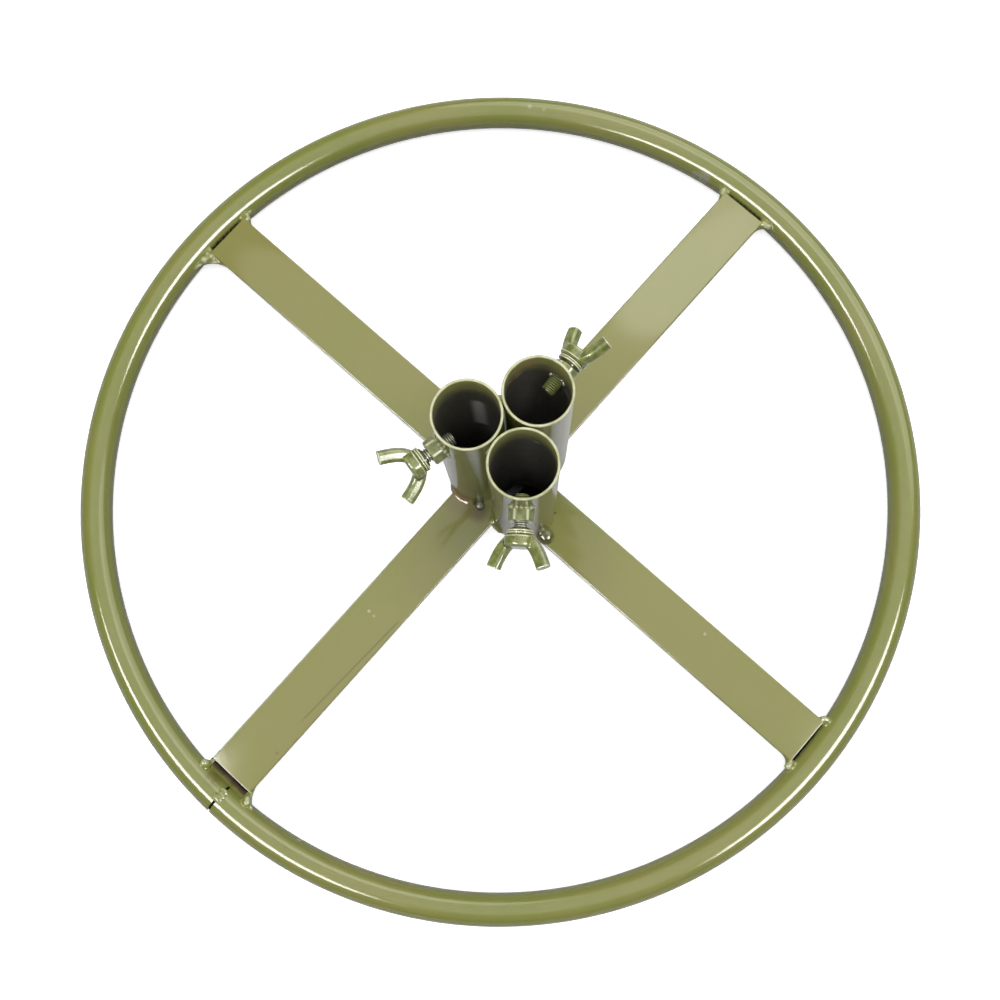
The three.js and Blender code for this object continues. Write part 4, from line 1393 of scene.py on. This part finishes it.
# %% Melt rows of lumps
BEAD_VOXEL = 0.35 * MM
BEAD_PASSES = 3
BEAD_PITCH = 2.2 * MM
BEAD_VARIES = 0.22
BEAD_WOBBLE = 0.3 * MM
NUT_LUMPS = 16
NUT_TOE = 6.9 * MM
NUT_LUMP = 1.15 * MM
BIG_LUMP = 1.35  # every fourth lump round a nut is larger
TACK_ANGLES = (128, 112, 97)  # degrees up from the tube's outer side
TACK_RADII = (2.9 * MM, 2.1 * MM, 1.5 * MM)
TACK_SINK = 0.2 * MM
TACK_ASIDE = 0.4 * MM
ROW_WELDS = ("valley_weld_rear_left", "valley_weld_left_right", "valley_weld_right_rear",
             "butt_weld_right", "butt_weld_left")


def make_bead(piece, material, spots, seed, stands_for=(), voxel=BEAD_VOXEL, passes=BEAD_PASSES):
    """A bead from (place, radii) for each lump."""
    bm = bmesh.new()
    for number, (place, radii) in enumerate(spots):
        size = 1 + BEAD_VARIES * random_share(seed, number)
        lump(bm, Vector(place) + wobble(seed, place, BEAD_WOBBLE), [r * size for r in radii])
    skin = melted(bm, voxel, passes)
    finished(piece, skin, "root", [material], stands_for,
             crease=MELTED_CREASE)


def row_in_box(node):
    """Lumps that fill a node's box along its longest side."""
    low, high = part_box(node)
    size = high - low
    axis = max(range(3), key=lambda i: size[i])
    count = max(2, round(size[axis] / BEAD_PITCH))
    radii = Vector([min(s / 2, BEAD_PITCH * 1.1) for s in size])
    room = size[axis] - 2 * radii[axis]
    spots = []
    for number in range(count):
        place = (low + high) / 2
        place[axis] = low[axis] + radii[axis] + room * number / (count - 1)
        spots.append((place, list(radii)))
    return spots


def on_wall(clamp, wall_radius, reach, turn):
    """A point on a circle round the clamp's axis, laid on the curved wall of the socket."""
    across, up = reach * math.cos(turn), reach * math.sin(turn)
    return clamp @ Vector((math.sqrt(wall_radius**2 - across**2), across, up))


def round_the_nut(name):
    """Lumps where the nut's foot meets the curved wall of the socket."""
    clamp = clamp_place(name)
    spots = []
    for number in range(NUT_LUMPS):
        place = on_wall(clamp, SOCKET_RADIUS, NUT_TOE, 2 * math.pi * number / NUT_LUMPS)
        spots.append((place, [NUT_LUMP * (BIG_LUMP if number % 4 == 2 else 1.0)] * 3))
    return spots


def seam_tack():
    """Lumps across the slit at the ring's seam, lying on the tube towards its inner side."""
    spots = []
    for around in TACK_ANGLES:
        out = RING_RADIUS + (TUBE_RADIUS - TACK_SINK) * math.cos(math.radians(around))
        high = TUBE_RADIUS + (TUBE_RADIUS - TACK_SINK) * math.sin(math.radians(around))
        turn = SEAM_ANGLE + TACK_ASIDE / RING_RADIUS
        spots.append((Vector((out * math.cos(turn), out * math.sin(turn), high)), TACK_RADII))
    return spots


for seed, name in enumerate(SOCKET_NAMES):
    node = "nut_weld_" + name
    make_bead(node + "_bead", weld_paint, round_the_nut(name), seed + 30, [node])
for seed, name in enumerate(ROW_WELDS):
    make_bead(name + "_bead", weld_paint, row_in_box(name), seed + 40, [name])
make_bead("seam_weld_bead", weld_paint, seam_tack(), 50, ["seam_weld"])

# %% [markdown]
# ## Roots and burrs
# Paint doesn't reach everywhere. The gaps at the ends of the bars and the slit in the ring are
# closed from below by weld metal, coloured near-black as a painted shade of the deep gaps and
# turning rust brown towards the ring at the seam, and the drill left a bright burr round each hole
# inside its socket. They are small, but without them daylight shows through the gaps and the holes
# look printed on.

# %% Melt the dark roots
ROOT_HEIGHT = 12 * MM
ROOT_FLANK = flank_radius(ROOT_HEIGHT)
ROOT_LUMPS = 13
ROOT_RADII = (2.9 * MM, 2.9 * MM, 1.7 * MM)
ROOT_UNDER_BAR = 1.5 * MM
ROOT_INTO_RING = 0.6 * MM
ROOT_SINK = 0.8 * MM
ROOT_VARIES = 0.7 * MM
ROOT_ROUGHNESS = 0.6
ROOT_SHINE = 0.05
BROWN_FROM = (243.6 * MM, 246.0 * MM)  # distance from the middle where the brown starts
OLIVE_FROM = (245.8 * MM, 248.2 * MM)
ROOT_SPARE = 0.4 * MM
SLIT_LUMPS = 18
SLIT_REACH = 6.9  # millimetres from the middle of the tube
SLIT_HUB = (0.8 * MM, 6.5 * MM, 6.5 * MM)
SLIT_RADII = (0.8 * MM, 2.5 * MM, 2.5 * MM)
BAR_ENDS = {  # bar, axis along it, side
    "rear": ("long_bar", 1, 1), "seam": ("long_bar", 1, -1),
    "right": ("short_bar_right", 0, 1), "left": ("short_bar_left", 0, -1),
}


def root_finish(name, painted):
    """Root metal, near-black as a painted shade of its deep gap. Where it is painted, it turns
    brown and olive towards the ring.
    """
    finish = Finish(name)
    cloud = finish.noise(5 * MM, detail=4.0)
    fine = finish.noise(1.2 * MM, detail=4.0)
    colour = finish.mix(fine.step(0.4, 0.7), ROOT_SHADE_BLACK, ROOT_SHADE_GREY)
    if painted:
        far = -1.0 * finish.y + cloud * 2.0 * MM
        colour = finish.mix(far.step(*BROWN_FROM), colour, ROOT_BROWN)
        colour = finish.mix(far.step(*OLIVE_FROM), colour, ROOT_OLIVE)
    normal = finish.bumps(fine + cloud, 0.2 * MM)
    return finish.shade(base_color=colour, roughness=ROOT_ROUGHNESS, normal=normal,
                        specular_ior_level=ROOT_SHINE)


def root_spots(end):
    """Lumps across the end of a bar, from under its edge to the ring's flank."""
    bar, axis, side = BAR_ENDS[end]
    low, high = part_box(bar)
    across = 1 - axis
    near = (high[axis] if side > 0 else low[axis]) - side * ROOT_UNDER_BAR
    spots = []
    for number in range(ROOT_LUMPS):
        place = Vector((0, 0, ROOT_HEIGHT - ROOT_SINK + ROOT_VARIES * random_share(number, 80)))
        place[across] = low[across] + (high[across] - low[across]) * (number + 0.5) / ROOT_LUMPS
        flank = side * math.sqrt(ROOT_FLANK**2 - place[across] ** 2) + side * ROOT_INTO_RING
        place[axis] = (near + flank) / 2
        radii = list(ROOT_RADII)
        radii[axis] = abs(flank - near) / 2 + ROOT_SPARE
        spots.append((place, radii))
    return spots


def slit_spots():
    """A thin wheel of lumps inside the slit at the ring's seam, near-black as a painted shade of
    the tube's inside.
    """
    middle = Vector((0, -RING_RADIUS, TUBE_RADIUS))
    spots = [(middle, SLIT_HUB)]
    for number in range(SLIT_LUMPS):
        turn = 2 * math.pi * number / SLIT_LUMPS
        out = Vector((0, math.cos(turn), math.sin(turn))) * SLIT_REACH * MM
        spots.append((middle + out, SLIT_RADII))
    return spots


root_black = root_finish("root_black", painted=False)
root_painted = root_finish("root_painted", painted=True)
for seed, end in enumerate(BAR_ENDS):
    finish = root_painted if end == "seam" else root_black
    make_bead("root_" + end, finish, root_spots(end), seed + 60, voxel=0.5 * MM, passes=10)
make_bead("root_slit", root_black, slit_spots(), 64, voxel=0.3 * MM, passes=1)

# %% Raise the burrs
BURR_LUMPS = 14
BURR_REACH = HOLE_RADIUS + 0.5 * MM
BURR_SIZE = (0.7, 0.4)  # millimetres, and how much it varies
BURR_SEED = 70


def burr_finish():
    """Torn steel, bright in some places and dull in others."""
    finish = Finish("bright_burr")
    fine = finish.noise(0.9 * MM, detail=4.0)
    colour = finish.mix(fine.step(0.35, 0.65), BURR_BRIGHT, BURR_DULL)
    return finish.shade(base_color=colour, roughness=0.3, metallic=0.3,
                        normal=finish.bumps(fine, 0.1 * MM))


def burr_spots(name, seed):
    """Crumbs of metal round the hole, on the wall of the bore."""
    clamp = clamp_place(name)
    spots = []
    for number in range(BURR_LUMPS):
        place = on_wall(clamp, BORE_RADIUS, BURR_REACH, 2 * math.pi * number / BURR_LUMPS)
        size = (BURR_SIZE[0] + BURR_SIZE[1] * random_share(seed, number)) * MM
        spots.append((place, [size] * 3))
    return spots


bright_burr = burr_finish()
for seed, name in enumerate(SOCKET_NAMES, BURR_SEED):
    make_bead("burr_" + name, bright_burr, burr_spots(name, seed), seed, voxel=0.25 * MM,
              passes=2)

# %% [markdown]
# ## Light and floor
# The stand was lit by a broad soft light from above and by bright panels at half height, which
# draw the bright lines along the ring. Here a lamp is seen either by dull surfaces or by glossy
# ones, so the soft light and the lines are set apart: one lamp lights the stand, and four panels
# only show in its gloss. The floor also changes with who looks. It is white to the camera, plain
# and pale in reflections, where it takes shadows, and dark to bounced light, so that undersides
# stay dark.

# %% Lamps
LAMPS = {  # azimuth, elevation, how far away, width, height, radiance, what sees it
    "sky_light": (86, 87, 3.0, 2.7, 2.7, 4.3, "dull"),
    "sky_mirror": (110, 85, 1.6, 2.6, 2.6, 1.2, "glossy"),
    "sheen_mirror": (95, 38, 3.0, 4.6, 2.9, 2.9, "glossy"),
    "key_mirror": (12, 47, 3.0, 1.9, 1.1, 25, "glossy"),
    "side_mirror": (-102, 49, 3.0, 2.4, 0.9, 24, "glossy"),
}


def lamp(name, azimuth, elevation, away, width, height, radiance, seen_by):
    """An oval panel that faces the stand. Radiance is what it adds to a mirror's reflection."""
    data = bpy.data.lights.new(name, "AREA")
    data.shape = "ELLIPSE"
    data.size = width
    data.size_y = height
    data.energy = radiance * math.pi * math.pi * width * height / 4
    light = bpy.data.objects.new(name, data)
    light.visible_diffuse = seen_by == "dull"
    light.visible_glossy = seen_by == "glossy"
    a, e = math.radians(azimuth), math.radians(elevation)
    toward = Vector((math.cos(a) * math.cos(e), math.sin(a) * math.cos(e), math.sin(e)))
    side = UP.cross(toward).normalized()
    turn = Matrix((side, toward.cross(side), toward)).transposed().to_4x4()
    light.matrix_world = Matrix.Translation(toward * away) @ turn
    bpy.context.scene.collection.objects.link(light)


for name, values in LAMPS.items():
    lamp(name, *values)
print(len(LAMPS), "lamps: one for dull surfaces, the others for glossy ones")

# %% World and floor
WHITE = (1, 1, 1)
WORLD_DIM = (0.08, 0.08, 0.085)
WORLD_SOFT = (0.2, 0.2, 0.21)
FLOOR_DARK = (0.06, 0.06, 0.06)
FLOOR_PALE = (0.85, 0.85, 0.85)
FLOOR_WHITE = (0.9, 0.9, 0.9)
FLOOR_GLOW = 0.72
FLOOR_REACH = 3.0
FLOOR_DROP = 0.0002  # keeps the floor just clear of the ring's underside


def shader_tree(owner):
    """An empty node tree."""
    owner.use_nodes = True
    owner.node_tree.nodes.clear()
    return owner.node_tree


def colour_shader(tree, kind, colour, strength=None):
    """A shader of one plain colour."""
    node = tree.nodes.new(kind)
    node.inputs["Color"].default_value = (*colour, 1)
    if strength is not None:
        node.inputs["Strength"].default_value = strength
    return node.outputs[0]


def chosen_by_ray(tree, others, chosen, target):
    """Shows a shader to each kind of ray that is named, and another to the rest."""
    path = tree.nodes.new("ShaderNodeLightPath")
    for ray, shader in chosen.items():
        mix = tree.nodes.new("ShaderNodeMixShader")
        for socket, index in ((path.outputs[ray], 0), (others, 1), (shader, 2)):
            tree.links.new(socket, mix.inputs[index])
        others = mix.outputs[0]
    tree.links.new(others, tree.nodes.new(target).inputs["Surface"])


def make_world():
    """White to the camera, soft to dull surfaces and dim to glossy ones."""
    world = bpy.data.worlds.new("studio")
    bpy.context.scene.world = world
    tree = shader_tree(world)
    dim = colour_shader(tree, "ShaderNodeBackground", WORLD_DIM)
    soft = colour_shader(tree, "ShaderNodeBackground", WORLD_SOFT)
    white = colour_shader(tree, "ShaderNodeBackground", WHITE)
    chosen_by_ray(tree, dim, {"Is Diffuse Ray": soft, "Is Camera Ray": white},
                  "ShaderNodeOutputWorld")


def make_floor():
    """White to the camera, pale in reflections and dark to bounced light."""
    bm = bmesh.new()
    bmesh.ops.create_grid(bm, x_segments=1, y_segments=1, size=FLOOR_REACH)
    mesh = bpy.data.meshes.new("floor")
    bm.to_mesh(mesh)
    bm.free()
    floor = bpy.data.objects.new("floor", mesh)
    floor.location.z = -FLOOR_DROP
    bpy.context.scene.collection.objects.link(floor)
    material = bpy.data.materials.new("floor")
    tree = shader_tree(material)
    dark = colour_shader(tree, "ShaderNodeBsdfDiffuse", FLOOR_DARK)
    mirrored = colour_shader(tree, "ShaderNodeBsdfDiffuse", FLOOR_PALE)
    white = colour_shader(tree, "ShaderNodeBsdfDiffuse", FLOOR_WHITE)
    glow = colour_shader(tree, "ShaderNodeEmission", WHITE, strength=FLOOR_GLOW)
    bright = tree.nodes.new("ShaderNodeAddShader")
    tree.links.new(white, bright.inputs[0])
    tree.links.new(glow, bright.inputs[1])
    chosen_by_ray(tree, dark, {"Is Glossy Ray": mirrored, "Is Camera Ray": bright.outputs[0]},
                  "ShaderNodeOutputMaterial")
    mesh.materials.append(material)


make_world()
make_floor()
bpy.context.scene.view_settings.view_transform = "Standard"
print("world and floor ready")
